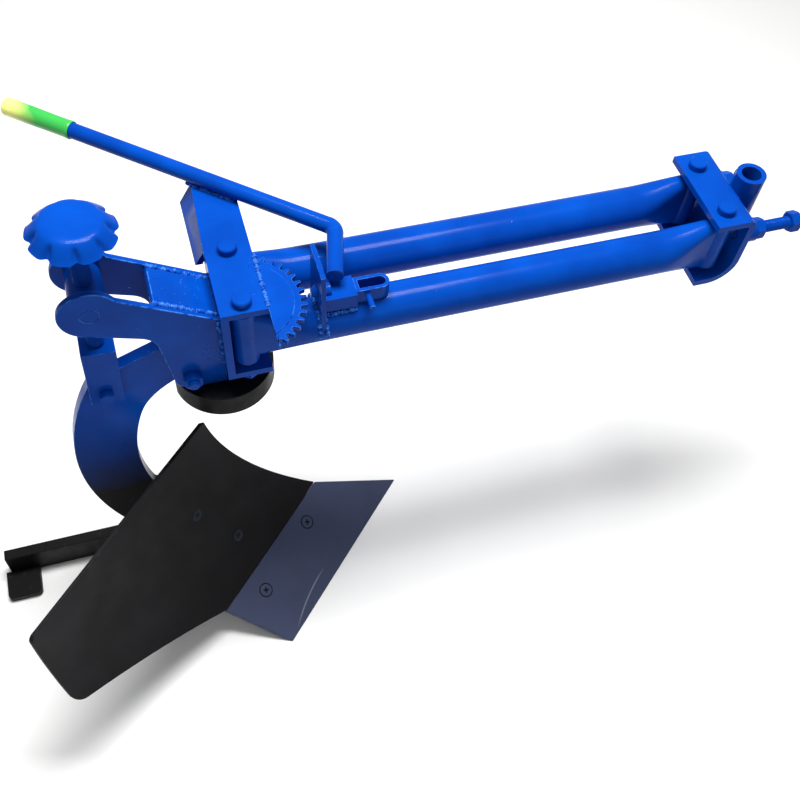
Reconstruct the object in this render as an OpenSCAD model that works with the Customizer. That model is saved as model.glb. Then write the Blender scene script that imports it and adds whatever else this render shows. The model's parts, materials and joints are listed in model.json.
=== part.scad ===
/* [Frame] */
// Distance between the two beams' pivots, side to side
pivot_gap = 90; // [80:1:120]
// Distance between the front and the rear pivots along a beam
beam_span = 673; // [560:1:760]
// Height of the beams' centre line above the ground
beam_z = 575; // [550:1:610]
// Diameter of the pivot bolts
bolt_d = 16; // [12:1:18]
// Diameter of the pivot bolts' round heads
bolt_head_d = 25; // [22:1:28]
// Height of the pivot bolts' heads
bolt_head_h = 10; // [8:1:12]
// Radial clearance of a pin in a bush that turns on it
run_gap = 0.05; // [0.02:0.01:0.1]
// Radial clearance of a bolt in a plain hole
hole_gap = 0.15; // [0.1:0.05:0.4]
// Gap left at a seat between curved faces
seat_gap = 0.3; // [0.2:0.05:0.4]

/* [Beams] */
// Outside diameter of the beam tubes
tube_d = 60; // [50:1:64]
// Wall of the beam tubes
tube_wall = 4; // [3:0.5:6]
// Length over which a tube is pressed flat towards its bush
press_l = 92; // [70:1:93]
// Height of the pressed end
press_h = 88; // [74:1:90]
// Thickness of the pressed end
press_t = 24; // [20:1:30]
// Outside diameter of the pivot bushes
bush_d = 34; // [28:1:36]
// Gap above and below a bush
bush_gap = 0.5; // [0.3:0.1:1]
// How far the front bushes end above the hitch channel's floor, for its bend
bush_lift = 10; // [9:0.5:14]

/* [Hitch] */
// Plate thickness of both pivot channels
chan_t = 10; // [8:1:12]
// Outside height of both pivot channels
chan_h = 120; // [114:1:130]
// Depth of the hitch channel from its open edge to its front
hitch_depth = 60; // [54:1:72]
// How far the hitch channel's front stands ahead of the pivots
hitch_front = 37; // [34:1:44]
// Width of the hitch channel
hitch_w = 144; // [136:1:170]
// Bend radius at the top of the hitch channel
hitch_top_r = 12; // [11:1:20]
// Bend radius at the bottom of the hitch channel
hitch_low_r = 40; // [20:1:42]
// Outside diameter of the drawbar pin's tube
pin_tube_d = 42; // [38:1:50]
// Bore of the drawbar pin's tube
pin_bore_d = 28; // [22:0.5:30]
// Length of the drawbar pin's tube
pin_tube_l = 118; // [90:1:130]
// How far the tube stands above the hitch channel
pin_tube_up = 16; // [5:1:30]
// Distance of the steadying screws from the middle plane
steady_y = 48; // [44:1:54]
// Drop of the steadying screws below the channel's top
steady_drop = 45; // [35:1:55]
// Diameter of the steadying screws
steady_d = 18; // [14:1:20]
// How far the right steadying screw's head stands ahead of the channel
steady_reach = 92; // [75:1:100]
// How far the left steadying screw's head stands ahead of the channel
steady_left_reach = 62; // [56:1:75]

/* [Rear bracket] */
// How far the rear bracket's open edge stands ahead of the pivots
rear_front = 30; // [24:1:32]
// How far the rear bracket's back stands behind the pivots
rear_back = 30; // [29:1:40]
// Distance from the middle plane to the bracket's right edge
rear_side = 62; // [56:1:70]
// How much deeper the rear bracket reaches down than the hitch
rear_drop = 12; // [0:1:16]
// How much the strap's rear edge runs in towards the lever
strap_taper = 6; // [0:1:10]
// Depth of the strap's rear flange
flange_depth = 36; // [20:1:50]
// How far the strap's rear flange slopes out behind the strap
flange_out = 12; // [0:1:20]
// Diameter of the round cup under the bracket
skirt_d = 142; // [130:1:150]
// Wall of the round cup
skirt_wall = 6; // [4:0.5:10]
// Height of the round cup
skirt_h = 37; // [30:1:60]
// Width of the cup's slot on each side of the leg
skirt_slot = 7; // [6:0.5:12]

/* [Toothed sector] */
// Number of teeth of the whole wheel
teeth = 40; // [32:2:44]
// Pitch of the teeth round the wheel
tooth_pitch = 12.7; // [10:0.1:13.5]
// Depth of the teeth
tooth_depth = 8; // [5:0.5:9]
// Thickness of the toothed rim
rim_t = 7; // [5:0.5:9]
// How far the rim's face lies below the raised disc
rim_drop = 2; // [1:0.5:3]

/* [Latch] */
// Distance from the pivot to the latch plate
latch_x = 94; // [94:1:98]
// Thickness of the latch plate
latch_t = 6; // [4:0.5:8]
// Width of the latch plate across the beam
latch_w = 58; // [54:1:60]
// Height of the latch plate above the beam's centre line
latch_top = 110; // [95:1:114]
// Diameter of the latch bolt
latch_bolt_d = 18; // [14:1:20]
// Gap between the latch bolt's nose and the teeth
latch_gap = 6; // [5:0.5:10]
// Length of the latch block
latch_block_l = 44; // [30:1:48]
// Drop of the latch block's top below the bracket's top
latch_block_drop = 7; // [6:0.5:12]
// Width of the latch block across the beam
latch_block_w = 34; // [28:1:40]
// Length of the pull loop
loop_l = 46; // [36:1:56]
// Width of the pull loop
loop_w = 24; // [20:1:28]
// Thickness of the pull loop's strip
loop_t = 5; // [4:0.5:7]
// Height of the pull loop
loop_h = 22; // [18:1:22]
// Drop of the pull loop's middle below the latch bolt
loop_drop = 12; // [12:0.5:13]
// Diameter of the pull loop's side pin
loop_pin_d = 8; // [6:0.5:9]
// Length of the pull loop's side pin
loop_pin_l = 22; // [15:1:28]

/* [Lever] */
// Diameter of the lever's bar
lever_d = 22; // [18:1:24]
// Angle between the lever and the beams, seen from above
lever_angle = 40.5; // [36:0.5:46]
// Length of the lever from its bend to the grip's end
lever_l = 505; // [450:1:560]
// How far the lever's bend stands ahead of the pivots
lever_bend_x = 141; // [132:1:150]
// Distance of the lever's bend left of the middle plane
lever_bend_y = 40; // [30:1:50]
// How far the lever's foot stands ahead of the pivots
lever_foot_x = 120; // [118:1:130]
// How far the lever's foot reaches across to the latch
lever_foot_y = -40; // [-46:1:-30]
// Bend radius of the lever's centre line
lever_bend_r = 16; // [13:1:30]
// Diameter of the grip
grip_d = 26; // [25:0.5:32]
// Length of the grip
grip_l = 106; // [80:1:120]

/* [Side plates] */
// Thickness of a side plate
cheek_t = 8; // [6:1:10]
// Distance between the side plates' inner faces
cheek_gap = 64; // [60:1:74]
// How far the trunnion stands behind the pivots
trunnion_x = 180; // [165:1:195]
// Height of the trunnion above the beams' centre line
trunnion_up = 80; // [65:1:90]
// Radius of the side plates' round ends
cheek_r = 38; // [32:1:42]
// How far the body's pivot stands behind the beams' pivots
body_pivot_x = 75; // [68:1:84]
// Drop of the body's pivot below the beams' centre line
body_pivot_drop = 78; // [70:1:84]
// Radius of the side plates' lower corner round the body's pivot
corner_r = 24; // [20:1:28]
// Drop of the side plates' top edge below the bracket's top, where they meet
cheek_drop = 31; // [20:1:40]
// Thickness of the web between the side plates
web_t = 8; // [6:1:10]
// Length of the web along the side plates
web_l = 86; // [60:1:95]

/* [Depth screw] */
// Diameter of the depth screw
screw_d = 20; // [16:1:22]
// Diameter of the trunnion's barrel
trunnion_d = 44; // [36:1:48]
// Diameter of the trunnion's journals
journal_d = 22; // [18:1:26]
// Height of the hand wheel's rim above the trunnion
wheel_up = 96; // [85:1:115]
// Diameter of the hand wheel
wheel_d = 108; // [90:1:120]
// Diameter of the hand wheel's flat top
wheel_top_d = 62; // [50:1:70]
// Height of the hand wheel's cap
wheel_h = 24; // [20:1:30]
// Sheet thickness of the hand wheel
wheel_t = 3; // [2.5:0.5:5]
// Number of scallops round the hand wheel
scallops = 9; // [7:1:11]
// Diameter of a scallop
scallop_d = 16; // [12:1:22]
// Depth of a scallop
scallop_depth = 5; // [3:0.5:7]
// Width of the yoke along the beam
yoke_w = 44; // [38:1:50]
// Strip thickness of the yoke
yoke_t = 7; // [5:1:9]
// Gap between the yoke and the leg on each side
yoke_gap = 5; // [5:0.5:8]
// How far the yoke reaches below its bolt
yoke_below = 20; // [16:1:24]
// Height of the yoke's top above its bolt
yoke_h = 88; // [80:1:96]
// Diameter of the yoke's bolt
yoke_bolt_d = 12; // [10:1:14]
// Radial play of the yoke on its bolt
yoke_play = 2; // [1.5:0.25:3]

/* [Leg] */
// Thickness of the leg's plate
leg_t = 18; // [14:1:22]
// Radius of the leg's rear edge
leg_rear_r = 418; // [400:1:440]
// Width of the leg at its waist
leg_waist = 89; // [80:1:100]
// How far the leg's centre of curvature stands ahead of the pivots
leg_centre_x = 156; // [150:1:165]
// Height of the leg's waist
leg_waist_z = 280; // [265:1:295]
// Height where the leg's front edge starts to sweep forward to its pivot
leg_sweep_z = 395; // [380:1:410]
// Reach of that sweep
leg_sweep = 52; // [40:1:60]
// How far the yoke's bolt stands behind the trunnion
yoke_bolt_back = 10; // [4:1:16]
// Drop of the yoke's bolt below the trunnion
yoke_bolt_drop = 185; // [180:1:192]

/* [Share and mouldboard] */
// How far the share's point stands ahead of the pivots
point_x = 249; // [230:1:265]
// Distance of the share's land edge left of the middle plane
land_y = 2; // [0:1:6]
// Angle between the cutting edge and the direction of travel
share_angle = 45; // [40:1:50]
// Length of the cutting edge
share_l = 355; // [320:1:380]
// Slope of the share's face
share_slope = 29.5; // [26:0.5:33]
// Width of the share up its slope
share_w = 122; // [105:1:130]
// Thickness of the share
share_t = 8; // [6:0.5:9]
// How much the share's wing end flares towards the seam
share_flare = 27; // [10:1:40]
// Thickness of the mouldboard
board_t = 6; // [5:0.5:7]
// Slope of the mouldboard's face at the seam
board_slope = 48; // [45:0.5:52]
// Radius of the mouldboard's face
board_r = 480; // [440:1:520]
// Height of the mouldboard's top edge
board_top = 320; // [290:1:335]
// Distance along the cutting edge from the point to the tail's top
tail_top_s = 619; // [560:1:640]
// Distance along the cutting edge from the point to the tail's bottom
tail_low_s = 632; // [580:1:660]
// Height of the tail's lower corner
tail_low_z = 165; // [140:1:190]
// Gap at the seam between share and mouldboard
seam_gap = 0.6; // [0.4:0.1:1]
// Thickness of the frog's pad behind the mouldboard
frog_t = 16; // [14:1:20]
// Height of the frog's top
frog_top = 190; // [150:1:210]
// Distance along the cutting edge from the point to the frog's far end
frog_s = 345; // [320:1:360]

/* [Landside] */
// Height of the landside bar
bar_h = 55; // [45:1:60]
// How far the landside bar reaches behind the pivots
bar_back = 428; // [400:1:450]
// How far the landside bar reaches ahead of the pivots
bar_front = 62; // [40:1:70]
// Length of the heel plate
heel_l = 54; // [40:1:70]
// Width of the heel plate
heel_w = 50; // [40:1:60]
// Thickness of the heel plate
heel_t = 12; // [8:1:16]

/* [Hidden] */
$fn = 64;
hull_fn = 32;
loft_step = 0.2;
loft_t = 1;
eps = 0.01;
big = 2000;
blue = "#1546c8";
black = "#1b1b1d";
green = "#7fd63a";

side_y = pivot_gap / 2;
chan_top = beam_z + chan_h / 2;
chan_low = beam_z - chan_h / 2;
rear_low = chan_low - rear_drop;
bush_h = chan_h - 2 * chan_t - 2 * bush_gap;
hex_k = 2 / sqrt(3);
af_k = 1.5;
nut_k = 0.8;
head_k = 0.65;
stub_k = 0.33;
nut_af = af_k * bolt_d;
nut_h = nut_k * bolt_d;
bolt_stub = stub_k * bolt_d;

lever_z = chan_top + lever_d / 2 + seat_gap;
lever_bend = [lever_bend_x, lever_bend_y, lever_z];
lever_end = lever_bend + lever_l * [-cos(lever_angle), sin(lever_angle), 0];
lever_foot = [lever_foot_x, lever_foot_y, lever_z];
grip_cap = 4;
grip_y = lever_end[1] + grip_cap * sin(lever_angle) + grip_d / 2 * cos(lever_angle);

tip_r = tooth_pitch * teeth / (2 * PI);
root_r = tip_r - tooth_depth;
tooth_root = 0.28;
tooth_tip = 0.12;
latch_z = chan_top - rim_drop - rim_t / 2;

trunnion_at = [-trunnion_x, 0, beam_z + trunnion_up];
body_pivot_at = [-body_pivot_x, 0, beam_z - body_pivot_drop];
yoke_pin_at = trunnion_at + [-yoke_bolt_back, 0, -yoke_bolt_drop];
screw_lean = atan2(yoke_bolt_back, yoke_bolt_drop);
screw_span = norm([yoke_bolt_back, yoke_bolt_drop]);
cheek_y = cheek_gap / 2;

seam_p = share_w * cos(share_slope);
seam_z = share_w * sin(share_slope);
board_c = [seam_p - board_r * sin(board_slope), seam_z + board_r * cos(board_slope)];
leg_y = leg_t / 2;

steady_boss_d = 1.9 * steady_d;
steady_boss_l = 1.1 * steady_d;
cheek_tip_angle = 12;
cheek_throat = [13, 92];
cheek_throat_r = 30;
leg_head_r = 24;
leg_head = [[-32, 34], [0, 30], [26, 0], [12, -24]];
leg_foot = [[-120, 150], [-30, 150], [20, 100]];
boss_d = 2 * corner_r - 6;
frog_start = 52;
frog_lip = [4, 22, 8];
heel_over = 8;
heel_r = 8;
heel_end = bar_back + heel_over;
steady_end = beam_span + hitch_front + steady_reach;
tail_low_p = board_c[0] + sqrt(pow(board_r, 2) - pow(tail_low_z - board_c[1], 2));
tail_y = land_y + tail_low_p * cos(share_angle) - tail_low_s * sin(share_angle);
x_mid = (steady_end - heel_end) / 2;
y_mid = (tail_y + grip_y) / 2;

function arc(c, r, a0, a1, n) = [
    for (i = [0:n]) c + r * [cos(a0 + (a1 - a0) * i / n), sin(a0 + (a1 - a0) * i / n)]
];
function unit(v) = v / norm(v);
function curve(a, b, c, n) = [
    for (i = [0:n - 1]) let (t = i / n) (1 - t) * (1 - t) * a + 2 * t * (1 - t) * b + t * t * c
];
function round_corner(a, b, c, r, n) =
    let (u = unit(a - b))
    let (v = unit(c - b))
    let (half = acos(u * v) / 2)
    let (m = b + unit(u + v) * r / sin(half))
    let (p = b + u * r / tan(half) - m)
    let (q = b + v * r / tan(half) - m)
    let (a0 = atan2(p[1], p[0]))
    let (turn = atan2(p[0] * q[1] - p[1] * q[0], p * q))
    arc(m, r, a0, a0 + turn, n);

// Moves the working frame, whose zero is between the rear pivots, to the middle of the plough
module placed() {
    translate([-x_mid, -y_mid, 0])
    children();
}

// A side view outline, x forward and y up, as a plate from y0 to y1 across the plough
module plate_y(y0, y1) {
    translate([0, y1, 0])
    rotate([90, 0, 0])
    linear_extrude(y1 - y0)
    children();
}

module rod(a, b, d) {
    v = b - a;
    translate(a)
    rotate([0, acos(v[2] / norm(v)), atan2(v[1], v[0])])
    cylinder(d = d, h = norm(v));
}

module hex(af, h) {
    cylinder(d = af * hex_k, h = h, $fn = 6);
}

// Round headed bolt through a channel, head on top and nut below
module channel_bolt(low) {
    translate([0, 0, chan_top])
    cylinder(d = bolt_head_d, h = bolt_head_h);
    translate([0, 0, low - nut_h - bolt_stub])
    cylinder(d = bolt_d, h = chan_top - low + nut_h + bolt_stub + eps);
    translate([0, 0, low - nut_h])
    hex(nut_af, nut_h);
}

module front_pivot(side) {
    color(blue)
    placed()
    translate([beam_span, side * side_y, 0])
    channel_bolt(chan_low);
}

module rear_pivot(side) {
    color(blue)
    placed()
    translate([0, side * side_y, 0])
    channel_bolt(rear_low);
}

module channel_holes(x) {
    for (side = [-1, 1])
        translate([x, side * side_y, rear_low - eps])
        cylinder(d = bolt_d + 2 * hole_gap, h = chan_h + rear_drop + 2 * eps);
}

// Side view of a block with its two front corners rounded
module bent_block(x0, x1, z0, z1, low_r, top_r) {
    difference() {
        translate([x0, z0])
        square([x1 - x0, z1 - z0]);
        translate([x1 - low_r, z0 - eps])
        square([low_r + eps, low_r + eps]);
        translate([x1 - top_r, z1 - top_r])
        square([top_r + eps, top_r + eps]);
    }
    translate([x1 - low_r, z0 + low_r])
    intersection() {
        circle(r = low_r);
        translate([0, -low_r])
        square([low_r, low_r]);
    }
    translate([x1 - top_r, z1 - top_r])
    intersection() {
        circle(r = top_r);
        square([top_r, top_r]);
    }
}

module hitch_channel() {
    front = beam_span + hitch_front;
    open = front - hitch_depth;
    color(blue)
    placed()
    difference() {
        union() {
            plate_y(-hitch_w / 2, hitch_w / 2)
            difference() {
                bent_block(open, front, chan_low, chan_top, hitch_low_r, hitch_top_r);
                bent_block(
                    open - 1, front - chan_t, chan_low + chan_t, chan_top - chan_t,
                    hitch_low_r - chan_t, hitch_top_r - chan_t
                );
            }
            for (side = [-1, 1])
                translate([front - eps, side * steady_y, chan_top - steady_drop])
                rotate([0, 90, 0])
                cylinder(d = steady_boss_d, h = steady_boss_l);
        }
        channel_holes(beam_span);
        for (side = [-1, 1])
            translate([front - chan_t - 1, side * steady_y, chan_top - steady_drop])
            rotate([0, 90, 0])
            cylinder(d = steady_d + 2 * hole_gap, h = chan_t + 2 + steady_boss_l);
    }
}

module pin_tube() {
    front = beam_span + hitch_front;
    top = chan_top + pin_tube_up;
    seat = pin_tube_d / 2;
    color(blue)
    placed()
    difference() {
        union() {
            translate([front + seat, 0, top - pin_tube_l])
            cylinder(d = pin_tube_d, h = pin_tube_l);
            translate([front, -seat / 2, chan_low + hitch_low_r])
            cube([seat, seat, chan_h - hitch_low_r - hitch_top_r]);
        }
        translate([front + seat, 0, top - pin_tube_l - 1])
        cylinder(d = pin_bore_d, h = pin_tube_l + 2);
    }
}

// Hexagon screw that steadies the hitch against the drawbar, with its lock nut
module steady_screw(side) {
    front = beam_span + hitch_front;
    reach = side < 0 ? steady_reach : steady_left_reach;
    head = nut_k * steady_d;
    color(blue)
    placed()
    translate([front, side * steady_y, chan_top - steady_drop])
    rotate([0, 90, 0]) {
        translate([0, 0, -chan_t])
        cylinder(d = steady_d, h = reach + chan_t - eps);
        translate([0, 0, steady_boss_l])
        hex(af_k * steady_d, nut_k * steady_d);
        translate([0, 0, reach - head])
        hex(af_k * steady_d, head);
    }
}

// Bushes at both ends of a beam
module bushes() {
    translate([0, 0, -bush_h / 2])
    cylinder(d = bush_d, h = bush_h);
    translate([beam_span, 0, bush_lift - bush_h / 2])
    cylinder(d = bush_d, h = bush_h - bush_lift);
}

// Lofts a round tube into its pressed end; inset takes the wall off
module pressed_loft(inset) {
    hull() {
        translate([press_l, 0, 0])
        rotate([0, 90, 0])
        cylinder(d = tube_d - 2 * inset - 2 * loft_step, h = loft_t, $fn = hull_fn);
        for (up = [-1, 1])
            translate([0, 0, up * (press_h - press_t) / 2])
            rotate([0, 90, 0])
            cylinder(d = press_t - 2 * inset, h = loft_t, $fn = hull_fn);
    }
}

module beam(side) {
    color(blue)
    placed()
    translate([0, side * side_y, beam_z])
    difference() {
        union() {
            translate([press_l, 0, 0])
            rotate([0, 90, 0])
            cylinder(d = tube_d, h = beam_span - 2 * press_l);
            pressed_loft(0);
            translate([beam_span, 0, 0])
            mirror([1, 0, 0])
            pressed_loft(0);
            bushes();
        }
        difference() {
            union() {
                translate([press_l, 0, 0])
                rotate([0, 90, 0])
                cylinder(d = tube_d - 2 * tube_wall, h = beam_span - 2 * press_l);
                pressed_loft(tube_wall);
                translate([beam_span, 0, 0])
                mirror([1, 0, 0])
                pressed_loft(tube_wall);
            }
            bushes();
        }
        for (x = [0, beam_span])
            translate([x, 0, -bush_h / 2 - 1])
            cylinder(d = bolt_d + 2 * run_gap, h = bush_h + 2);
    }
}

// Plate that stands across the right beam and guides the latch bolt
module latch_plate() {
    color(blue)
    placed()
    translate([latch_x, -side_y, beam_z])
    difference() {
        translate([0, -latch_w / 2, 0])
        cube([latch_t, latch_w, latch_top]);
        translate([-1, 0, 0])
        rotate([0, 90, 0])
        cylinder(d = tube_d + 2 * seat_gap, h = latch_t + 2);
        translate([-1, 0, latch_z - beam_z])
        rotate([0, 90, 0])
        cylinder(d = latch_bolt_d + 2 * hole_gap, h = latch_t + 2);
    }
}

module latch_bolt() {
    nose = tip_r + latch_gap;
    taper = latch_bolt_d / 3;
    back = latch_x + latch_t + seat_gap;
    base = beam_z + tube_d / 2 + seat_gap;
    color(blue)
    placed()
    translate([0, -side_y, 0]) {
        translate([nose, 0, latch_z])
        rotate([0, 90, 0])
        cylinder(d1 = latch_bolt_d / 2, d2 = latch_bolt_d, h = taper);
        translate([nose + taper - eps, 0, latch_z])
        rotate([0, 90, 0])
        cylinder(d = latch_bolt_d, h = back + taper - nose);
        translate([back, -latch_block_w / 2, base])
        cube([latch_block_l, latch_block_w, chan_top - latch_block_drop - base]);
    }
}

module pull_loop() {
    start = latch_x + latch_t + seat_gap + latch_block_l;
    bend = loop_l - loop_w / 2;
    color(blue)
    placed()
    translate([start, -side_y, latch_z - loop_drop - loop_h / 2]) {
        difference() {
            union() {
                translate([0, -loop_w / 2, 0])
                cube([bend, loop_w, loop_h]);
                translate([bend, 0, 0])
                cylinder(d = loop_w, h = loop_h);
            }
            translate([loop_t, loop_t - loop_w / 2, -1])
            cube([bend - loop_t, loop_w - 2 * loop_t, loop_h + 2]);
            translate([bend, 0, -1])
            cylinder(d = loop_w - 2 * loop_t, h = loop_h + 2);
        }
        translate([loop_l / 3, -loop_w / 2 - loop_pin_l, loop_h / 2])
        rotate([-90, 0, 0])
        cylinder(d = loop_pin_d, h = loop_pin_l + loop_t / 2);
    }
}

// Strap that runs out to the left under the lever, with its rear edge bent down
module strap() {
    slope = tan(lever_angle);
    lap = 1;
    front_y = lever_bend_y + (lever_bend_x - rear_front) * slope;
    back_y = lever_bend_y + (lever_bend_x + rear_back - strap_taper) * slope;
    translate([0, 0, chan_top - chan_t])
    linear_extrude(chan_t)
    polygon([
        [-rear_back, rear_side - lap],
        [rear_front, rear_side - lap],
        [rear_front, front_y],
        [strap_taper - rear_back, back_y]
    ]);
    plate_y(rear_side - lap, back_y - rear_back)
    polygon([
        [chan_t - rear_back, chan_top - chan_t / 2],
        [strap_taper - rear_back, chan_top - chan_t / 2],
        [-rear_back - flange_out, chan_top - flange_depth],
        [chan_t - rear_back - flange_out, chan_top - flange_depth]
    ]);
}

module rear_channel() {
    color(blue)
    placed()
    difference() {
        union() {
            difference() {
                translate([-rear_back, -rear_side, rear_low])
                cube([rear_back + rear_front, 2 * rear_side, chan_top - rear_low]);
                translate([chan_t - rear_back, -rear_side - 1, rear_low + chan_t])
                cube([big, 2 * rear_side + 2, chan_top - rear_low - 2 * chan_t]);
            }
            strap();
        }
        channel_holes(0);
    }
}

// Half of a toothed wheel about the right rear pivot, welded to the bracket's front edge
module toothed_sector() {
    step = 360 / teeth;
    rim_top = chan_top - rim_drop;
    lap = 1;
    tooth = [[root_r, -tooth_root], [tip_r, -tooth_tip], [tip_r, tooth_tip], [root_r, tooth_root]];
    outline = [
        for (i = [0:teeth - 1])
            for (corner = tooth)
                let (a = (i + 0.5 + corner[1]) * step)
                corner[0] * [cos(a), sin(a)]
    ];
    color(blue)
    placed()
    translate([0, -side_y, 0])
    intersection() {
        union() {
            translate([0, 0, rim_top - rim_t])
            linear_extrude(rim_t)
            polygon(outline);
            translate([0, 0, rim_top - lap])
            cylinder(r = root_r - tooth_depth, h = rim_drop + lap);
        }
        translate([rear_front, -big / 2, 0])
        cube([big, big, big]);
    }
}

// Round cup below the side plates, open below and slotted at the back for the leg
module skirt() {
    top = body_pivot_at[2] - corner_r - seat_gap;
    slot_w = leg_t + 2 * skirt_slot;
    color(black)
    placed()
    difference() {
        translate([-rear_back, 0, top - skirt_h])
        cylinder(d = skirt_d, h = skirt_h);
        translate([-rear_back, 0, top - skirt_h - 1])
        cylinder(d = skirt_d - 2 * skirt_wall, h = skirt_h + 1 - skirt_wall);
        translate([-rear_back - big, -slot_w / 2, 0])
        cube([big, slot_w, big]);
    }
}

module cheek_outline() {
    t = [trunnion_at[0], trunnion_at[2]];
    a = [body_pivot_at[0], body_pivot_at[2]];
    under = a + [-corner_r - cheek_throat[0], cheek_throat[1]];
    tip = t - cheek_r * [sin(cheek_tip_angle), cos(cheek_tip_angle)];
    union() {
        translate(t)
        circle(r = cheek_r);
        translate(a)
        circle(r = corner_r);
        polygon(concat(
            [[-rear_back, chan_top - cheek_drop], t + [0, cheek_r]],
            [t, tip],
            round_corner(tip, under, a - [corner_r, 0], cheek_throat_r, 8),
            [a - [corner_r, 0], a - [0, corner_r], [-rear_back, a[1] - corner_r]]
        ));
    }
}

module cheek(side) {
    mid = side * (cheek_y + cheek_t / 2);
    color(blue)
    placed()
    difference() {
        plate_y(mid - cheek_t / 2, mid + cheek_t / 2)
        cheek_outline();
        translate([trunnion_at[0], mid + cheek_t, trunnion_at[2]])
        rotate([90, 0, 0])
        cylinder(d = journal_d + 2 * run_gap, h = 2 * cheek_t);
        translate([body_pivot_at[0], mid + cheek_t, body_pivot_at[2]])
        rotate([90, 0, 0])
        cylinder(d = bolt_d + 2 * hole_gap, h = 2 * cheek_t);
    }
}

module cheek_web() {
    rise = trunnion_at[2] + cheek_r - chan_top + cheek_drop;
    color(blue)
    placed()
    translate([-rear_back, -cheek_y, chan_top - cheek_drop])
    rotate([0, 180 + atan2(rise, trunnion_x - rear_back), 0])
    cube([web_l, cheek_gap, web_t]);
}

module body_pivot_bolt() {
    outer = cheek_y + cheek_t;
    head = head_k * bolt_d;
    color(blue)
    placed()
    translate([body_pivot_at[0], 0, body_pivot_at[2]])
    rotate([90, 0, 0]) {
        translate([0, 0, -outer - head / 2])
        cylinder(d = bolt_d, h = 2 * outer + head / 2 + nut_h + bolt_stub);
        translate([0, 0, outer])
        hex(nut_af, nut_h);
        translate([0, 0, -outer - head])
        hex(nut_af, head);
    }
}

// Round rod from a to c by way of b, bent there to the radius r and swollen a little by the bending
module bent_rod(a, b, c, r, d) {
    swell = 0.2;
    lap = 1;
    u = unit(a - b);
    v = unit(c - b);
    half = acos(u * v) / 2;
    reach = r / tan(half);
    m = b + unit(u + v) * r / sin(half);
    x = unit(b + u * reach - m);
    z = cross(x, -u);
    rod(a, b + u * (reach - lap), d);
    rod(b + v * (reach - lap), c, d);
    multmatrix([
        [x[0], -u[0], z[0], m[0]],
        [x[1], -u[1], z[1], m[1]],
        [x[2], -u[2], z[2], m[2]]
    ])
    rotate_extrude(angle = 180 - 2 * half)
    translate([r, 0])
    circle(d = d + 2 * swell);
}

module lever() {
    color(blue)
    placed()
    bent_rod(lever_end, lever_bend, lever_foot, lever_bend_r, lever_d);
}

module grip() {
    dir = unit(lever_bend - lever_end);
    color(green)
    placed()
    difference() {
        rod(lever_end - grip_cap * dir, lever_end + grip_l * dir, grip_d);
        rod(lever_end - eps * dir, lever_end + (grip_l + 1) * dir, lever_d + 2 * hole_gap);
    }
}

// Turns the screw's own upright frame to its lean, with its zero at the trunnion
module on_screw() {
    translate(trunnion_at)
    rotate([0, screw_lean, 0])
    children();
}

module trunnion() {
    reach = cheek_y + cheek_t;
    color(blue)
    placed()
    difference() {
        translate(trunnion_at)
        rotate([90, 0, 0]) {
            translate([0, 0, -cheek_y + bush_gap])
            cylinder(d = trunnion_d, h = cheek_gap - 2 * bush_gap);
            translate([0, 0, -reach])
            cylinder(d = journal_d, h = 2 * reach);
        }
        on_screw()
        translate([0, 0, -trunnion_d])
        cylinder(d = screw_d + 2 * seat_gap, h = 2 * trunnion_d);
    }
}

module depth_screw() {
    low = yoke_h - screw_span;
    color(blue)
    placed()
    on_screw()
    translate([0, 0, low])
    cylinder(d = screw_d, h = wheel_up + wheel_h / 2 - low);
}

// Pressed cap with a scalloped rim, on a hub that the screw runs into
module hand_wheel() {
    r = wheel_d / 2;
    top_r = wheel_top_d / 2;
    color(blue)
    placed()
    on_screw()
    translate([0, 0, wheel_up])
    difference() {
        rotate_extrude()
        polygon([
            [0, 0],
            [screw_d, 0],
            [screw_d, wheel_h - wheel_t],
            [top_r - wheel_t / 2, wheel_h - wheel_t],
            [r - wheel_t, 0],
            [r, 0],
            [top_r, wheel_h],
            [0, wheel_h]
        ]);
        translate([0, 0, -1])
        cylinder(d = screw_d + 2 * hole_gap, h = wheel_h / 2 + 1 + hole_gap);
        for (i = [0:scallops - 1])
            rotate([0, 0, (i + 0.5) * 360 / scallops])
            translate([r + scallop_d / 2 - scallop_depth, 0, -1])
            cylinder(d = scallop_d, h = wheel_h + 2);
    }
}

module yoke() {
    inner = leg_t + 2 * yoke_gap;
    outer = inner + 2 * yoke_t;
    color(blue)
    placed()
    on_screw()
    translate([0, 0, -screw_span])
    difference() {
        translate([-yoke_w / 2, -outer / 2, -yoke_below])
        cube([yoke_w, outer, yoke_h + yoke_below]);
        translate([-yoke_w / 2 - 1, -inner / 2, -yoke_below - 1])
        cube([yoke_w + 2, inner, yoke_h + yoke_below + 1 - yoke_t]);
        translate([0, outer / 2 + 1, 0])
        rotate([90, 0, 0])
        cylinder(d = yoke_bolt_d + 2 * yoke_play, h = outer + 2);
    }
}

module yoke_bolt() {
    reach = leg_t / 2 + yoke_gap + yoke_t + seat_gap;
    nut = nut_k * yoke_bolt_d;
    yoke_af = af_k * yoke_bolt_d;
    color(blue)
    placed()
    translate(yoke_pin_at)
    rotate([90, 0, 0]) {
        translate([0, 0, -reach - nut / 2])
        cylinder(d = yoke_bolt_d, h = 2 * reach + nut);
        translate([0, 0, reach])
        hex(yoke_af, nut);
        translate([0, 0, -reach - nut])
        hex(yoke_af, nut);
    }
}

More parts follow.
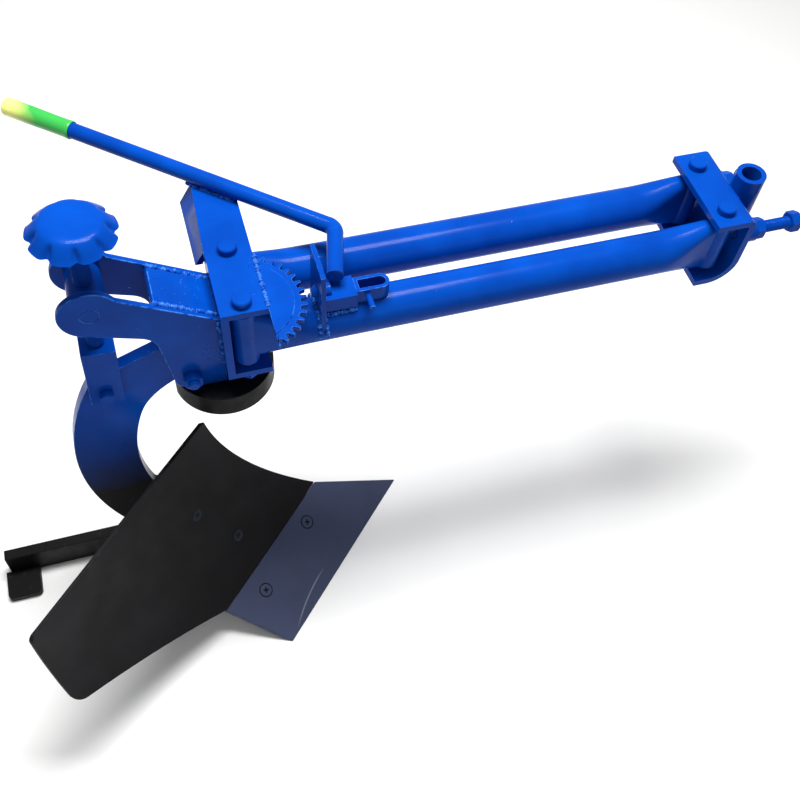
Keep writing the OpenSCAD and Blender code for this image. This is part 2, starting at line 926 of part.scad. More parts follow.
module leg_outline() {
    c = [leg_centre_x, leg_waist_z];
    a = [body_pivot_at[0], body_pivot_at[2]];
    b = [yoke_pin_at[0], yoke_pin_at[2]];
    front_r = leg_rear_r - leg_waist;
    rear_top = asin((b[1] - 10 - c[1]) / leg_rear_r);
    rear_low = asin((c[1] - bar_h) / leg_rear_r);
    front_top = asin((leg_sweep_z - c[1]) / front_r);
    front_p = c + front_r * [-cos(front_top), sin(front_top)];
    front_dir = [sin(front_top), cos(front_top)];
    front_low = asin((c[1] - frog_top) / front_r);
    polygon(concat(
        arc(c, leg_rear_r, 180 + rear_low, 180 - rear_top, 24),
        arc(b, leg_head_r, 170, 90, 6),
        [a + leg_head[0], a + leg_head[1], a + leg_head[2]],
        curve(a + leg_head[3], front_p + leg_sweep * front_dir, front_p, 10),
        arc(c, front_r, 180 - front_top, 180 + front_low, 20),
        leg_foot,
        [[bar_front, bar_h]]
    ));
}

module leg() {
    color(blue)
    placed()
    difference() {
        union() {
            plate_y(-leg_y, leg_y)
            leg_outline();
            translate([body_pivot_at[0], cheek_y - bush_gap, body_pivot_at[2]])
            rotate([90, 0, 0])
            cylinder(d = boss_d, h = cheek_gap - 2 * bush_gap);
        }
        translate([body_pivot_at[0], cheek_y + 1, body_pivot_at[2]])
        rotate([90, 0, 0])
        cylinder(d = bolt_d + 2 * run_gap, h = cheek_gap + 2);
        translate([yoke_pin_at[0], leg_t, yoke_pin_at[2]])
        rotate([90, 0, 0])
        cylinder(d = yoke_bolt_d + 2 * hole_gap, h = 2 * leg_t);
    }
}

module landside() {
    color(black)
    placed()
    translate([-bar_back, -leg_y, 0])
    cube([bar_back + bar_front, leg_t, bar_h]);
}

module heel() {
    color(black)
    placed()
    translate([-heel_end, -leg_y - heel_w, 0])
    linear_extrude(heel_t)
    polygon(concat(
        [[0, heel_w], [heel_l, heel_w]],
        round_corner([heel_l, heel_w], [heel_l, 0], [0, 0], heel_r, 5),
        round_corner([heel_l, 0], [0, 0], [0, heel_w], heel_r, 5)
    ));
}

// Working frame of the plough's bottom: x back from the cutting edge, y along it from the point
module furrow() {
    translate([point_x, land_y, 0])
    rotate([0, 0, 180 - share_angle])
    children();
}

// Extrudes a cross section of the plough's bottom along the cutting edge
module along_edge(s0, s1) {
    translate([0, s1, 0])
    rotate([90, 0, 0])
    linear_extrude(s1 - s0)
    children();
}

// Everything right of the land plane, moved right by inset
module right_of_land(inset) {
    rotate([0, 0, share_angle - 180])
    translate([-big, -big - inset, -1])
    cube([2 * big, big, big]);
}

module share() {
    back = share_t / sin(share_slope);
    side = share_flare / seam_p;
    color(black)
    placed()
    furrow()
    intersection() {
        along_edge(0, share_l + 2 * share_flare)
        polygon([
            [0, 0],
            [seam_p, seam_z],
            [seam_p + share_t * sin(share_slope), seam_z - share_t * cos(share_slope)],
            [back, 0]
        ]);
        right_of_land(0);
        translate([0, 0, -1])
        linear_extrude(big)
        polygon([
            [-1, -1],
            [seam_p + 2 * share_t, -1],
            [seam_p + 2 * share_t, share_l + (seam_p + 2 * share_t) * side],
            [0, share_l],
            [-1, share_l]
        ]);
    }
}

module board_band(r0, r1, z0, z1) {
    intersection() {
        translate(board_c)
        difference() {
            circle(r = r1, $fn = 256);
            circle(r = r0, $fn = 256);
        }
        translate([0, z0])
        square([big, z1 - z0]);
    }
}

module mouldboard() {
    low_z = seam_z + seam_gap;
    wing_s = share_l + share_flare;
    low = [tail_low_s, tail_low_z];
    top = [tail_top_s, board_top];
    color(black)
    placed()
    furrow()
    intersection() {
        along_edge(0, tail_low_s + 1)
        board_band(board_r, board_r + board_t, low_z, board_top);
        right_of_land(0);
        rotate([90, 0, 90])
        linear_extrude(big)
        polygon(concat(
            [[0, low_z], [wing_s, low_z]],
            round_corner([wing_s, low_z], low, top, 24, 8),
            round_corner(low, top, [0, board_top], 10, 5),
            [[0, board_top]]
        ));
    }
}

// Pad behind the share and the mouldboard that carries both on the leg's foot
module frog() {
    back = board_r + board_t + seat_gap;
    drop = (share_t + seat_gap) / cos(share_slope);
    thick = frog_t / 2 / cos(share_slope);
    rise = tan(share_slope);
    lip = seam_p + frog_lip[0];
    back_p = seam_p + frog_lip[1];
    color(black)
    placed()
    furrow()
    intersection() {
        union() {
            along_edge(0, frog_s)
            board_band(back, back + frog_t, seam_z + seam_gap, frog_top);
            along_edge(0, frog_s)
            polygon([
                [frog_start, frog_start * rise - drop],
                [lip, lip * rise - drop],
                [back_p, seam_z + seam_gap + frog_lip[2]],
                [back_p, lip * rise - drop - thick],
                [frog_start, frog_start * rise - drop - thick]
            ]);
        }
        right_of_land(leg_y + land_y);
    }
}

hitch_channel();
pin_tube();
front_pivot(-1);  // front_pivot_right
front_pivot(1);  // front_pivot_left
steady_screw(-1);  // steady_screw_right
steady_screw(1);  // steady_screw_left
beam(-1);  // beam_right
beam(1);  // beam_left
latch_plate();
latch_bolt();
pull_loop();
rear_channel();
toothed_sector();
skirt();
rear_pivot(-1);  // rear_pivot_right
rear_pivot(1);  // rear_pivot_left
cheek(-1);  // cheek_right
cheek(1);  // cheek_left
cheek_web();
body_pivot_bolt();
lever();
grip();
trunnion();
depth_screw();
hand_wheel();
yoke();
yoke_bolt();
leg();
landside();
heel();
frog();
mouldboard();
share();
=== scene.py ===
"""Dresses the mouldboard plough: finishes, threads, fasteners, welds and a studio stage."""
import json
import math

import bmesh
import bpy
from bpy.props import FloatProperty, FloatVectorProperty, IntProperty, PointerProperty
from mathutils import Matrix, Vector
from mathutils.bvhtree import BVHTree


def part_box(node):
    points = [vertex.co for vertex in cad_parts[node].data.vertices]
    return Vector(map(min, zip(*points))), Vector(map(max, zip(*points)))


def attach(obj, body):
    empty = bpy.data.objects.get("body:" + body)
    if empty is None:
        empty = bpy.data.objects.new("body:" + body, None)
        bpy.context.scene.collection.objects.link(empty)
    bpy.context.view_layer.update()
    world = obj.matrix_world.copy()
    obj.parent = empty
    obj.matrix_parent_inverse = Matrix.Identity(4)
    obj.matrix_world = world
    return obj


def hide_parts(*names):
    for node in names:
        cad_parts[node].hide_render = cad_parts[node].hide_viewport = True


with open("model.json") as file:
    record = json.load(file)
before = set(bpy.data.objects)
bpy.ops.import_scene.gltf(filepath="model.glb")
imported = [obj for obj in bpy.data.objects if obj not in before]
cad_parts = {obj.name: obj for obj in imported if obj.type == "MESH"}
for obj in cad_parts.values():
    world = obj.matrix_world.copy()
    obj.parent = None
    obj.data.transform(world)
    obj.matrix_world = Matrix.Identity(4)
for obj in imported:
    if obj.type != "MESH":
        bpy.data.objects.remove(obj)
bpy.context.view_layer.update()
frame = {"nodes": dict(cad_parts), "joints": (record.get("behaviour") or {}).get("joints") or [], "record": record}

bl_info = {
    "name": "Mouldboard plough dresser",
    "version": (1, 0, 0),
    "blender": (4, 5, 0),
    "location": "View3D > Sidebar > Plough",
    "description": "Gives a single-furrow plough its enamel, threads, fasteners and welds",
    "category": "Object",
}

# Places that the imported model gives, in metres; the sizes in the operators are in millimetres
MM = 0.001
JOINTS = {joint["name"]: joint for joint in frame["joints"]}
FRONT_RIGHT = Vector(JOINTS["swing"]["pos_m"])
FRONT_LEFT = Vector(JOINTS["swing_left"]["pos_m"])
REAR_RIGHT = Vector(JOINTS["bracket_swing"]["pos_m"])
REAR_LEFT = REAR_RIGHT + FRONT_LEFT - FRONT_RIGHT
BODY_PIVOT = Vector(JOINTS["pitch"]["pos_m"])
TRUNNION = Vector(JOINTS["trunnion_tilt"]["pos_m"])
SCREW_UP = Vector(JOINTS["screw_slide"]["axis"]).normalized()
MIDDLE = (REAR_RIGHT + REAR_LEFT) / 2
MIDDLE.z = 0
X_AXIS = Vector((1, 0, 0))
Y_AXIS = Vector((0, 1, 0))
LEVER_TURN = 40.5
BODY_OF = {node: body for body, nodes in frame["record"]["behaviour"]["bodies"].items() for node in nodes}
SLOT_OF = {part["node"]: part["material_slot"] for part in frame["record"]["subparts"]}


def at(x, y, z):
    """A place given in millimetres, forward and left of the rear pivots' middle and up from the ground."""
    return MIDDLE + Vector((x, y, z)) * MM


def srgb(code):
    """A hex colour as linear red, green, blue and alpha."""
    parts = [int(code[i:i + 2], 16) / 255 for i in (1, 3, 5)]
    return tuple(c / 12.92 if c <= 0.04045 else ((c + 0.055) / 1.055) ** 2.4 for c in parts) + (1.0,)


def colour(name, description, code):
    """A colour that the panel shows."""
    return FloatVectorProperty(
        name=name, description=description, default=srgb(code), size=4, min=0, max=1, subtype="COLOR"
    )


def length(name, description, millimetres):
    """A length that the panel shows."""
    return FloatProperty(
        name=name, description=description, default=millimetres * MM, min=0, unit="LENGTH", precision=4
    )


class PloughSizes(bpy.types.PropertyGroup):
    """Sizes of what the finishing adds to the plough."""
    edge_round: length("Edge rounding", "Rounding of sawn and pressed plate edges", 1.2)
    tooth_round: length("Tooth rounding", "Rounding of the toothed sector's edges", 0.4)
    screw_pitch: length("Depth screw pitch", "Distance between the depth screw's threads", 5.0)
    steady_pitch: length("Steadying screw pitch", "Distance between the steadying screws' threads", 2.5)
    bolt_chamfer: length("Bolt chamfer", "Chamfer round a bolt's head or nut", 1.6)
    wheel_flute: length("Hand wheel flute", "Depth of the flutes round the hand wheel", 5.5)
    weld_width: length("Weld width", "Width of a weld bead", 6.0)
    weld_step: length("Weld ripple", "Distance between the ripples of a weld bead", 2.2)
    spatter_size: length("Spatter size", "Diameter of the largest drop of weld spatter", 2.0)
    spatter_seed: IntProperty(name="Spatter seed", description="Chooses where the drops lie", default=7)
    board_bolt: length("Plough bolt", "Diameter of the countersunk heads in share and mouldboard", 20.0)


class PloughColours(bpy.types.PropertyGroup):
    """Colours of the plough's finishes."""
    blue: colour("Blue enamel", "Body colour of the enamel", "#0345a8")
    blue_deep: colour("Deep enamel", "Enamel where it ran thick", "#033b98")
    blue_edge: colour("Thin enamel", "Enamel where it ran thin over an edge", "#4c8df0")
    bare: colour("Bare steel", "Steel where the paint is chipped", "#b9bcc8")
    black: colour("Black lacquer", "Lacquer of the mouldboard", "#121214")
    black_worn: colour("Rubbed lacquer", "Lacquer where it is rubbed thin", "#2b2c31")
    # The share's paler, bluish lacquer is painted sheen: lighter for how light falls on the share
    share: colour("Share lacquer", "Thinner lacquer of the share", "#404760")
    # The mouldboard bolts' paler, bluish lacquer is painted sheen on their heads
    board_bolt: colour("Board bolts", "Lacquer of the bolts in the mouldboard", "#252834")
    dip: colour("Black dip", "Dip paint of landside, frog and cup", "#0c0c0e")
    # The pale yellow is a painted highlight on the grip's rounded end
    grip: colour("Grip", "Dipped plastic of the grip", "#36ac4a")
    grip_highlight: colour("Grip end", "Dipped plastic at the grip's end", "#f1f58a")
    floor: colour("Floor", "Pale studio floor", "#fdfdfc")


def sizes():
    """The sizes that the panel holds."""
    return bpy.context.scene.plough_sizes


def colours():
    """The colours that the panel holds."""
    return bpy.context.scene.plough_colours


def add(tree, kind, links=None, **settings):
    """Adds a node with its settings; an input takes a value, a socket or a node's first output in use."""
    node = tree.nodes.new(kind)
    for name, value in settings.items():
        setattr(node, name, value)
    for key, source in (links or {}).items():
        if isinstance(source, bpy.types.Node):
            source = next(out for out in source.outputs if out.enabled)
        if isinstance(source, bpy.types.NodeSocket):
            tree.links.new(source, node.inputs[key])
        else:
            node.inputs[key].default_value = source
    return node


def scale_for(millimetres):
    """Texture scale whose pattern repeats at about this real size."""
    return 1 / (millimetres * MM)


def new_material(name):
    """A material with no nodes yet, its tree and its Object coordinates."""
    material = bpy.data.materials.new(name)
    material.use_nodes = True
    tree = material.node_tree
    tree.nodes.clear()
    return material, tree, add(tree, "ShaderNodeTexCoord").outputs["Object"]


def enamel_colour(tree, place, edge):
    """Blue of brushed-on enamel: thicker and thinner patches, and a few chips down to the steel."""
    hues = colours()
    cloud = add(tree, "ShaderNodeTexNoise", {"Vector": place, "Scale": scale_for(70), "Detail": 3})
    patch = add(tree, "ShaderNodeMapRange", {"Value": cloud, "From Min": 0.35, "From Max": 0.68})
    base = add(tree, "ShaderNodeMix", {0: patch, 6: hues.blue, 7: hues.blue_deep}, data_type="RGBA")
    if edge:
        grain = add(tree, "ShaderNodeTexNoise", {"Vector": place, "Scale": scale_for(9), "Detail": 3})
        thinner = {"Value": grain, "From Min": 0.38, "From Max": 0.62, "To Max": 0.7}
        thin = add(tree, "ShaderNodeMapRange", thinner)
        base = add(tree, "ShaderNodeMix", {0: thin, 6: base, 7: hues.blue_edge}, data_type="RGBA")
    speck = {"Vector": place, "Scale": scale_for(5), "Detail": 4, "Roughness": 0.6}
    fleck = add(tree, "ShaderNodeTexNoise", speck)
    limit = 0.70 if edge else 0.76
    chip = add(tree, "ShaderNodeMapRange", {"Value": fleck, "From Min": limit, "From Max": limit + 0.015})
    return add(tree, "ShaderNodeMix", {0: chip, 6: base, 7: hues.bare}, data_type="RGBA")


def enamel_skin(tree, place, base):
    """Wet-looking gloss over a colour, with brush ripples."""
    sheen = add(tree, "ShaderNodeTexNoise", {"Vector": place, "Scale": scale_for(22), "Detail": 3})
    rough = add(tree, "ShaderNodeMapRange", {
        "Value": sheen, "From Min": 0.3, "From Max": 0.7, "To Min": 0.16, "To Max": 0.26,
    })
    ripple = add(tree, "ShaderNodeTexNoise", {"Vector": place, "Scale": scale_for(3.5), "Detail": 3})
    skin = add(tree, "ShaderNodeBump", {"Height": ripple, "Strength": 0.12, "Distance": 0.6 * MM})
    shader = add(tree, "ShaderNodeBsdfPrincipled", {
        "Base Color": base, "Roughness": rough, "Normal": skin, "Specular IOR Level": 0.045,
        "Coat Weight": 0.03, "Coat Roughness": 0.08,
    })
    add(tree, "ShaderNodeOutputMaterial", {"Surface": shader})


def blue_enamel(edge=False):
    """Air-drying gloss enamel brushed over steel, paler over edges."""
    material, tree, place = new_material("blue enamel edge" if edge else "blue enamel")
    enamel_skin(tree, place, enamel_colour(tree, place, edge))
    return material


def leg_enamel(edge=False):
    """The same enamel on the leg, run into black dip paint towards the foot."""
    material, tree, place = new_material("leg enamel edge" if edge else "leg enamel")
    height = add(tree, "ShaderNodeSeparateXYZ", {"Vector": place}).outputs["Z"]
    drift = add(tree, "ShaderNodeTexNoise", {"Vector": place, "Scale": scale_for(60), "Detail": 3})
    wander = add(tree, "ShaderNodeMapRange", {"Value": drift, "To Min": -0.03, "To Max": 0.03})
    level = add(tree, "ShaderNodeMath", {0: height, 1: wander}, operation="ADD")
    fade = add(tree, "ShaderNodeMapRange", {"Value": level, "From Min": 0.34, "From Max": 0.2})
    shade = {0: fade, 6: enamel_colour(tree, place, edge), 7: colours().dip}
    enamel_skin(tree, place, add(tree, "ShaderNodeMix", shade, data_type="RGBA"))
    return material


# The share's curved scratch in millimetres: the middle and radius of its arc, and the middle of its run
ARC_MIDDLE = (272.4, -340, -146.2)
ARC_RADIUS = 320.4
ARC_SPOT = (43.1, -182.3, 8.6)


def arc_scratch(tree, place):
    """Share of bare metal in the long curved scratch that runs across the share's wing."""
    apart = {0: place, 1: tuple(at(*ARC_MIDDLE))}
    away = add(tree, "ShaderNodeVectorMath", apart, operation="DISTANCE").outputs["Value"]
    off = add(tree, "ShaderNodeMath", {0: away, 1: ARC_RADIUS * MM}, operation="SUBTRACT")
    off = add(tree, "ShaderNodeMath", {0: off}, operation="ABSOLUTE")
    line = add(tree, "ShaderNodeMapRange", {
        "Value": off, "From Min": 1.8 * MM, "From Max": 0.4 * MM, "To Max": 0.28,
    })
    near = {0: place, 1: tuple(at(*ARC_SPOT))}
    along = add(tree, "ShaderNodeVectorMath", near, operation="DISTANCE").outputs["Value"]
    ends = add(tree, "ShaderNodeMapRange", {"Value": along, "From Min": 58 * MM, "From Max": 30 * MM})
    return add(tree, "ShaderNodeMath", {0: line, 1: ends}, operation="MULTIPLY")


def black_lacquer(edge=False, name="black lacquer", body=None):
    """Satin lacquer on rolled plate: even and dark, with fine scratches along the rolling direction."""
    material, tree, place = new_material(name + " edge" if edge else name)
    hues = colours()
    # The body colour is the plain black, or for the share and the mouldboard's bolts a paler bluish tone that is
    # painted sheen
    body = body or hues.black
    along = {"Vector": place, "Rotation": (0, 0, math.radians(-45)), "Scale": (1, 0.06, 1)}
    turned = add(tree, "ShaderNodeMapping", along)
    streak = add(tree, "ShaderNodeTexNoise", {"Vector": turned, "Scale": scale_for(1.6), "Detail": 2})
    deep = {"Value": streak, "From Min": 0.7, "From Max": 0.74, "To Max": 0.5}
    scratch = add(tree, "ShaderNodeMapRange", deep)
    cloud = add(tree, "ShaderNodeTexNoise", {"Vector": place, "Scale": scale_for(120), "Detail": 3})
    worn = {"Value": cloud, "From Min": 0.45, "From Max": 0.8, "To Max": 0.35}
    rubbed = add(tree, "ShaderNodeMapRange", worn)
    base = add(tree, "ShaderNodeMix", {0: rubbed, 6: body, 7: hues.black_worn}, data_type="RGBA")
    base = add(tree, "ShaderNodeMix", {0: scratch, 6: base, 7: hues.black_worn}, data_type="RGBA")
    arc = arc_scratch(tree, place)
    base = add(tree, "ShaderNodeMix", {0: arc, 6: base, 7: hues.bare}, data_type="RGBA")
    if edge:
        grain = add(tree, "ShaderNodeTexNoise", {"Vector": place, "Scale": scale_for(14), "Detail": 3})
        thinner = {"Value": grain, "From Min": 0.45, "From Max": 0.62, "To Max": 0.5}
        thin = add(tree, "ShaderNodeMapRange", thinner)
        base = add(tree, "ShaderNodeMix", {0: thin, 6: base, 7: hues.black_worn}, data_type="RGBA")
    sheen = add(tree, "ShaderNodeTexNoise", {"Vector": place, "Scale": scale_for(40), "Detail": 4})
    rough = add(tree, "ShaderNodeMapRange", {
        "Value": sheen, "From Min": 0.3, "From Max": 0.7, "To Min": 0.4, "To Max": 0.54,
    })
    skin = add(tree, "ShaderNodeBump", {"Height": streak, "Strength": 0.05, "Distance": 0.3 * MM})
    shader = add(tree, "ShaderNodeBsdfPrincipled", {
        "Base Color": base, "Roughness": rough, "Normal": skin, "Specular IOR Level": 0.1,
    })
    add(tree, "ShaderNodeOutputMaterial", {"Surface": shader})
    return material


def share_sheen_lacquer(edge=False):
    """The same lacquer on the share, paler and a little blue as painted sheen for the light that falls on the
    share.
    """
    return black_lacquer(edge, "share sheen lacquer", colours().share)


def board_bolt_sheen_lacquer(edge=False):
    """The same lacquer on the mouldboard's bolts, between the two, lightened and tinted blue as painted sheen on
    the heads.
    """
    return black_lacquer(edge, "board bolt sheen lacquer", colours().board_bolt)


def black_dip(edge=False):
    """Thin black dip paint: satin, with pale runs and a slightly orange-peeled skin."""
    material, tree, place = new_material("black dip edge" if edge else "black dip")
    hues = colours()
    runs = add(tree, "ShaderNodeMapping", {"Vector": place, "Scale": (1, 1, 0.12)})
    streak = add(tree, "ShaderNodeTexNoise", {"Vector": runs, "Scale": scale_for(9), "Detail": 3})
    pale = {"Value": streak, "From Min": 0.6, "From Max": 0.75, "To Max": 0.8 if edge else 0.55}
    run = add(tree, "ShaderNodeMapRange", pale)
    base = add(tree, "ShaderNodeMix", {0: run, 6: hues.dip, 7: hues.black_worn}, data_type="RGBA")
    sheen = add(tree, "ShaderNodeTexNoise", {"Vector": place, "Scale": scale_for(18), "Detail": 3})
    rough = add(tree, "ShaderNodeMapRange", {
        "Value": sheen, "From Min": 0.3, "From Max": 0.7, "To Min": 0.34, "To Max": 0.52,
    })
    peel = add(tree, "ShaderNodeTexNoise", {"Vector": place, "Scale": scale_for(4), "Detail": 3})
    skin = add(tree, "ShaderNodeBump", {"Height": peel, "Strength": 0.15, "Distance": 0.6 * MM})
    shader = add(tree, "ShaderNodeBsdfPrincipled", {
        "Base Color": base, "Roughness": rough, "Normal": skin, "Specular IOR Level": 0.1,
    })
    add(tree, "ShaderNodeOutputMaterial", {"Surface": shader})
    return material


def dipped_plastic():
    """Soft vinyl dipped over the lever: waxy green that pales to yellow at the rounded end, a painted highlight on
    that end.
    """
    material, tree, place = new_material("dipped vinyl")
    hues = colours()
    low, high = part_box("grip")
    along = add(tree, "ShaderNodeSeparateXYZ", {"Vector": place}).outputs["X"]
    drift = add(tree, "ShaderNodeTexNoise", {"Vector": place, "Scale": scale_for(30)})
    wander = add(tree, "ShaderNodeMapRange", {"Value": drift, "To Min": -0.01, "To Max": 0.01})
    level = add(tree, "ShaderNodeMath", {0: along, 1: wander}, operation="ADD")
    span = high.x - low.x
    # Painted highlight: the green pales to yellow towards the rounded end
    pale = add(tree, "ShaderNodeMapRange", {
        "Value": level, "From Min": low.x + 0.45 * span, "From Max": low.x + 0.15 * span,
    })
    base = add(tree, "ShaderNodeMix", {0: pale, 6: hues.grip, 7: hues.grip_highlight}, data_type="RGBA")
    lumps = add(tree, "ShaderNodeTexNoise", {"Vector": place, "Scale": scale_for(5)})
    skin = add(tree, "ShaderNodeBump", {"Height": lumps, "Strength": 0.1, "Distance": 0.5 * MM})
    shader = add(tree, "ShaderNodeBsdfPrincipled", {
        "Base Color": base, "Roughness": 0.28, "Normal": skin,
        "Subsurface Weight": 0.1, "Subsurface Radius": (0.004, 0.006, 0.003),
    })
    add(tree, "ShaderNodeOutputMaterial", {"Surface": shader})
    return material


FINISH_MAKERS = {
    "blue_paint": blue_enamel,
    "leg_paint": leg_enamel,
    "black_paint": black_dip,
    "black_steel": black_lacquer,
    "share": share_sheen_lacquer,
    "board_bolt": board_bolt_sheen_lacquer,
}
finishes = {}


def finish(slot, edge=False):
    """The material of a finish, made once."""
    key = (slot, edge)
    if key not in finishes:
        finishes[key] = dipped_plastic() if slot == "grip_plastic" else FINISH_MAKERS[slot](edge)
    return finishes[key]


def settle(piece, body, slot, *nodes):
    """Puts a finished piece on its body and hides the solids that it stands for."""
    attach(piece, body)
    if nodes:
        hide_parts(*nodes)


def object_from(name, mesh):
    """An object at the origin that shows a mesh."""
    piece = bpy.data.objects.new(name, mesh)
    bpy.context.scene.collection.objects.link(piece)
    return piece


def mesh_from(name, shape):
    """A mesh from a shape, which is then freed."""
    mesh = bpy.data.meshes.new(name)
    shape.to_mesh(mesh)
    shape.free()
    return mesh


def smooth(mesh, sharp):
    """Shades a mesh smooth apart from edges sharper than an angle in degrees."""
    mesh.shade_smooth()
    mesh.set_sharp_from_angle(angle=math.radians(sharp))


def object_from_bmesh(name, shape, slot, sharp=35):
    """An object from a closed shape, smooth apart from its sharp edges."""
    bmesh.ops.recalc_face_normals(shape, faces=shape.faces)
    mesh = mesh_from(name, shape)
    mesh.materials.append(finish(slot))
    smooth(mesh, sharp)
    return object_from(name, mesh)


def stand_in(node, ending, shape, sharp=35):
    """Puts a shape in a solid's place, with the solid's finish and body."""
    piece = object_from_bmesh(node + ending, shape, SLOT_OF[node], sharp)
    settle(piece, BODY_OF[node], SLOT_OF[node], node)


def plain_mesh(piece):
    """Turns a piece's modifiers into its mesh."""
    graph = bpy.context.evaluated_depsgraph_get()
    mesh = bpy.data.meshes.new_from_object(piece.evaluated_get(graph))
    piece.modifiers.clear()
    piece.data = mesh


MERGE = 0.002 * MM
FLAT_TURN = 0.6
BEVEL_TURN = 32


def soften(node, width):
    """A copy of a solid with its edges rounded, whose rounded faces take the finish's edge tone."""
    shape = bmesh.new()
    shape.from_mesh(frame["nodes"][node].data)
    bmesh.ops.remove_doubles(shape, verts=shape.verts, dist=MERGE)
    flat = math.radians(FLAT_TURN)
    bmesh.ops.dissolve_limit(shape, angle_limit=flat, verts=shape.verts, edges=shape.edges)
    mesh = mesh_from(node + "_finished", shape)
    mesh.materials.clear()
    slot = SLOT_OF[node]
    look = node if node in FINISH_MAKERS else slot
    mesh.materials.append(finish(look))
    mesh.materials.append(finish(look, True))
    for polygon in mesh.polygons:
        polygon.material_index = 0
    smooth(mesh, BEVEL_TURN)
    piece = object_from(node + "_finished", mesh)
    bevel = piece.modifiers.new("edges", "BEVEL")
    bevel.width = width
    bevel.segments = 2
    bevel.limit_method = "ANGLE"
    bevel.angle_limit = math.radians(BEVEL_TURN)
    bevel.harden_normals = True
    bevel.material = 1
    plain_mesh(piece)
    settle(piece, BODY_OF[node], slot, node)


def axes(direction):
    """A matrix that turns +Z to a direction."""
    return direction.to_track_quat("Z", "Y").to_matrix().to_4x4()


def turns(steps):
    """The angles of even steps round a circle."""
    return [2 * math.pi * i / steps for i in range(steps)]


def polar(radius, angle, height):
    """A point at a radius and an angle about Z."""
    return Vector((radius * math.cos(angle), radius * math.sin(angle), height))


def bridge(shape, rings, closed=False):
    """Faces from each ring of points to the next, where a ring of one point is a tip, and over both ends."""
    for below, above in zip(rings, rings[1:]):
        count = max(len(below), len(above))
        for i in range(count):
            j = (i + 1) % count
            corners = ((below, i), (below, j), (above, j), (above, i))
            shape.faces.new(list(dict.fromkeys(ring[k % len(ring)] for ring, k in corners)))
    if closed:
        shape.faces.new(rings[0][::-1])
        shape.faces.new(rings[-1])


def lathe(shape, profile, matrix, steps=32):
    """Turns a profile of (radius, height) pairs, which starts and ends on the axis, about Z and places it."""
    rings = []
    for radius, height in profile:
        around = turns(steps) if radius else [0]
        rings.append([shape.verts.new(matrix @ polar(radius, a, height)) for a in around])
    bridge(shape, rings)


# Shares of a nut: its flat end face, the chamfer's depth at the flats and the chamfer cone's slope
HEX_FACE = 0.97
HEX_LAND = 0.2
HEX_CONE = 0.55


def hexagon(shape, across, height, chamfer, matrix, steps=48):
    """A hexagon nut or head from z 0 to its height, its corners chamfered by a cone at both ends."""
    flat = across / 2
    end = flat * HEX_FACE
    rings = [[], [], [], []]
    for a in turns(steps):
        near = (a + math.pi / 6) % (math.pi / 3) - math.pi / 6
        side = flat / math.cos(near)
        drop = HEX_LAND * chamfer + HEX_CONE * (side - flat)
        outline = ((end, 0), (side, drop), (side, height - drop), (end, height))
        for ring, (reach, level) in zip(rings, outline):
            ring.append(shape.verts.new(matrix @ polar(reach, a, level)))
    bridge(shape, rings, closed=True)


def thread(shape, radius, depth, pitch, reach, matrix, steps=24, levels=6):
    """A screw thread of a given reach up Z: a ridge that climbs one pitch a turn, faded out at both ends."""
    count = max(2, round(reach / pitch * levels))
    rings = []
    for k in range(count + 1):
        z = reach * k / count
        ease = min(1.0, z / pitch, (reach - z) / pitch)
        ring = []
        for i, a in enumerate(turns(steps)):
            phase = (z / pitch - i / steps) % 1
            cut = depth * abs(2 * phase - 1)
            r = radius - depth + (depth - cut) * ease
            ring.append(shape.verts.new(matrix @ polar(r, a, z)))
        rings.append(ring)
    bridge(shape, rings, closed=True)


def new_tree(name, inputs):
    """A Geometry Nodes tree with named inputs and one geometry output, and its group input's sockets."""
    tree = bpy.data.node_groups.new(name, "GeometryNodeTree")
    for label, kind in inputs:
        tree.interface.new_socket(label, in_out="INPUT", socket_type="NodeSocket" + kind)
    tree.interface.new_socket("Shape", in_out="OUTPUT", socket_type="NodeSocketGeometry")
    return tree, add(tree, "NodeGroupInput").outputs


def close_tree(tree, instances, finish_socket):
    """Ends a tree: instances made real, shaded smooth and given their finish."""
    real = add(tree, "GeometryNodeRealizeInstances", {"Geometry": instances})
    smooth = add(tree, "GeometryNodeSetShadeSmooth", {"Geometry": real})
    painted = add(tree, "GeometryNodeSetMaterial", {"Geometry": smooth, "Material": finish_socket})
    add(tree, "NodeGroupOutput", {"Shape": painted})


# How far a weld's drops stray from its wire
STRAY = 0.7 * MM


def weld_tree():
    """Lays overlapping flattened drops along a wire, so that they read as a weld bead's ripples."""
    tree, given = new_tree("weld bead", (
        ("Wire", "Geometry"), ("Width", "Float"), ("Ripple", "Float"), ("Seed", "Int"),
        ("Finish", "Material"),
    ))
    wire = add(tree, "GeometryNodeMeshToCurve", {"Mesh": given["Wire"]})
    spots = add(tree, "GeometryNodeCurveToPoints", {"Curve": wire, "Length": given["Ripple"]}, mode="LENGTH")
    stray = add(tree, "FunctionNodeRandomValue", {
        "Min": (-STRAY, -STRAY, -STRAY), "Max": (STRAY, STRAY, STRAY), "Seed": given["Seed"],
    }, data_type="FLOAT_VECTOR")
    uneven_spots = add(tree, "GeometryNodeSetPosition", {"Geometry": spots, "Offset": stray})
    facing = add(tree, "FunctionNodeAlignRotationToVector", {"Vector": spots.outputs["Tangent"]}, axis="Z")
    drop = add(tree, "GeometryNodeMeshIcoSphere", {"Radius": 0.5, "Subdivisions": 2})
    spread = {"Min": 0.65, "Max": 1.3, "Seed": given["Seed"]}
    uneven = add(tree, "FunctionNodeRandomValue", spread, data_type="FLOAT").outputs["Value"]
    across = add(tree, "ShaderNodeMath", {0: given["Width"], 1: uneven}, operation="MULTIPLY")
    along = add(tree, "ShaderNodeMath", {0: given["Ripple"], 1: 1.5}, operation="MULTIPLY")
    size = add(tree, "ShaderNodeCombineXYZ", {"X": across, "Y": across, "Z": along})
    drops = add(tree, "GeometryNodeInstanceOnPoints", {
        "Points": uneven_spots, "Instance": drop, "Rotation": facing, "Scale": size,
    })
    close_tree(tree, drops, given["Finish"])
    return tree


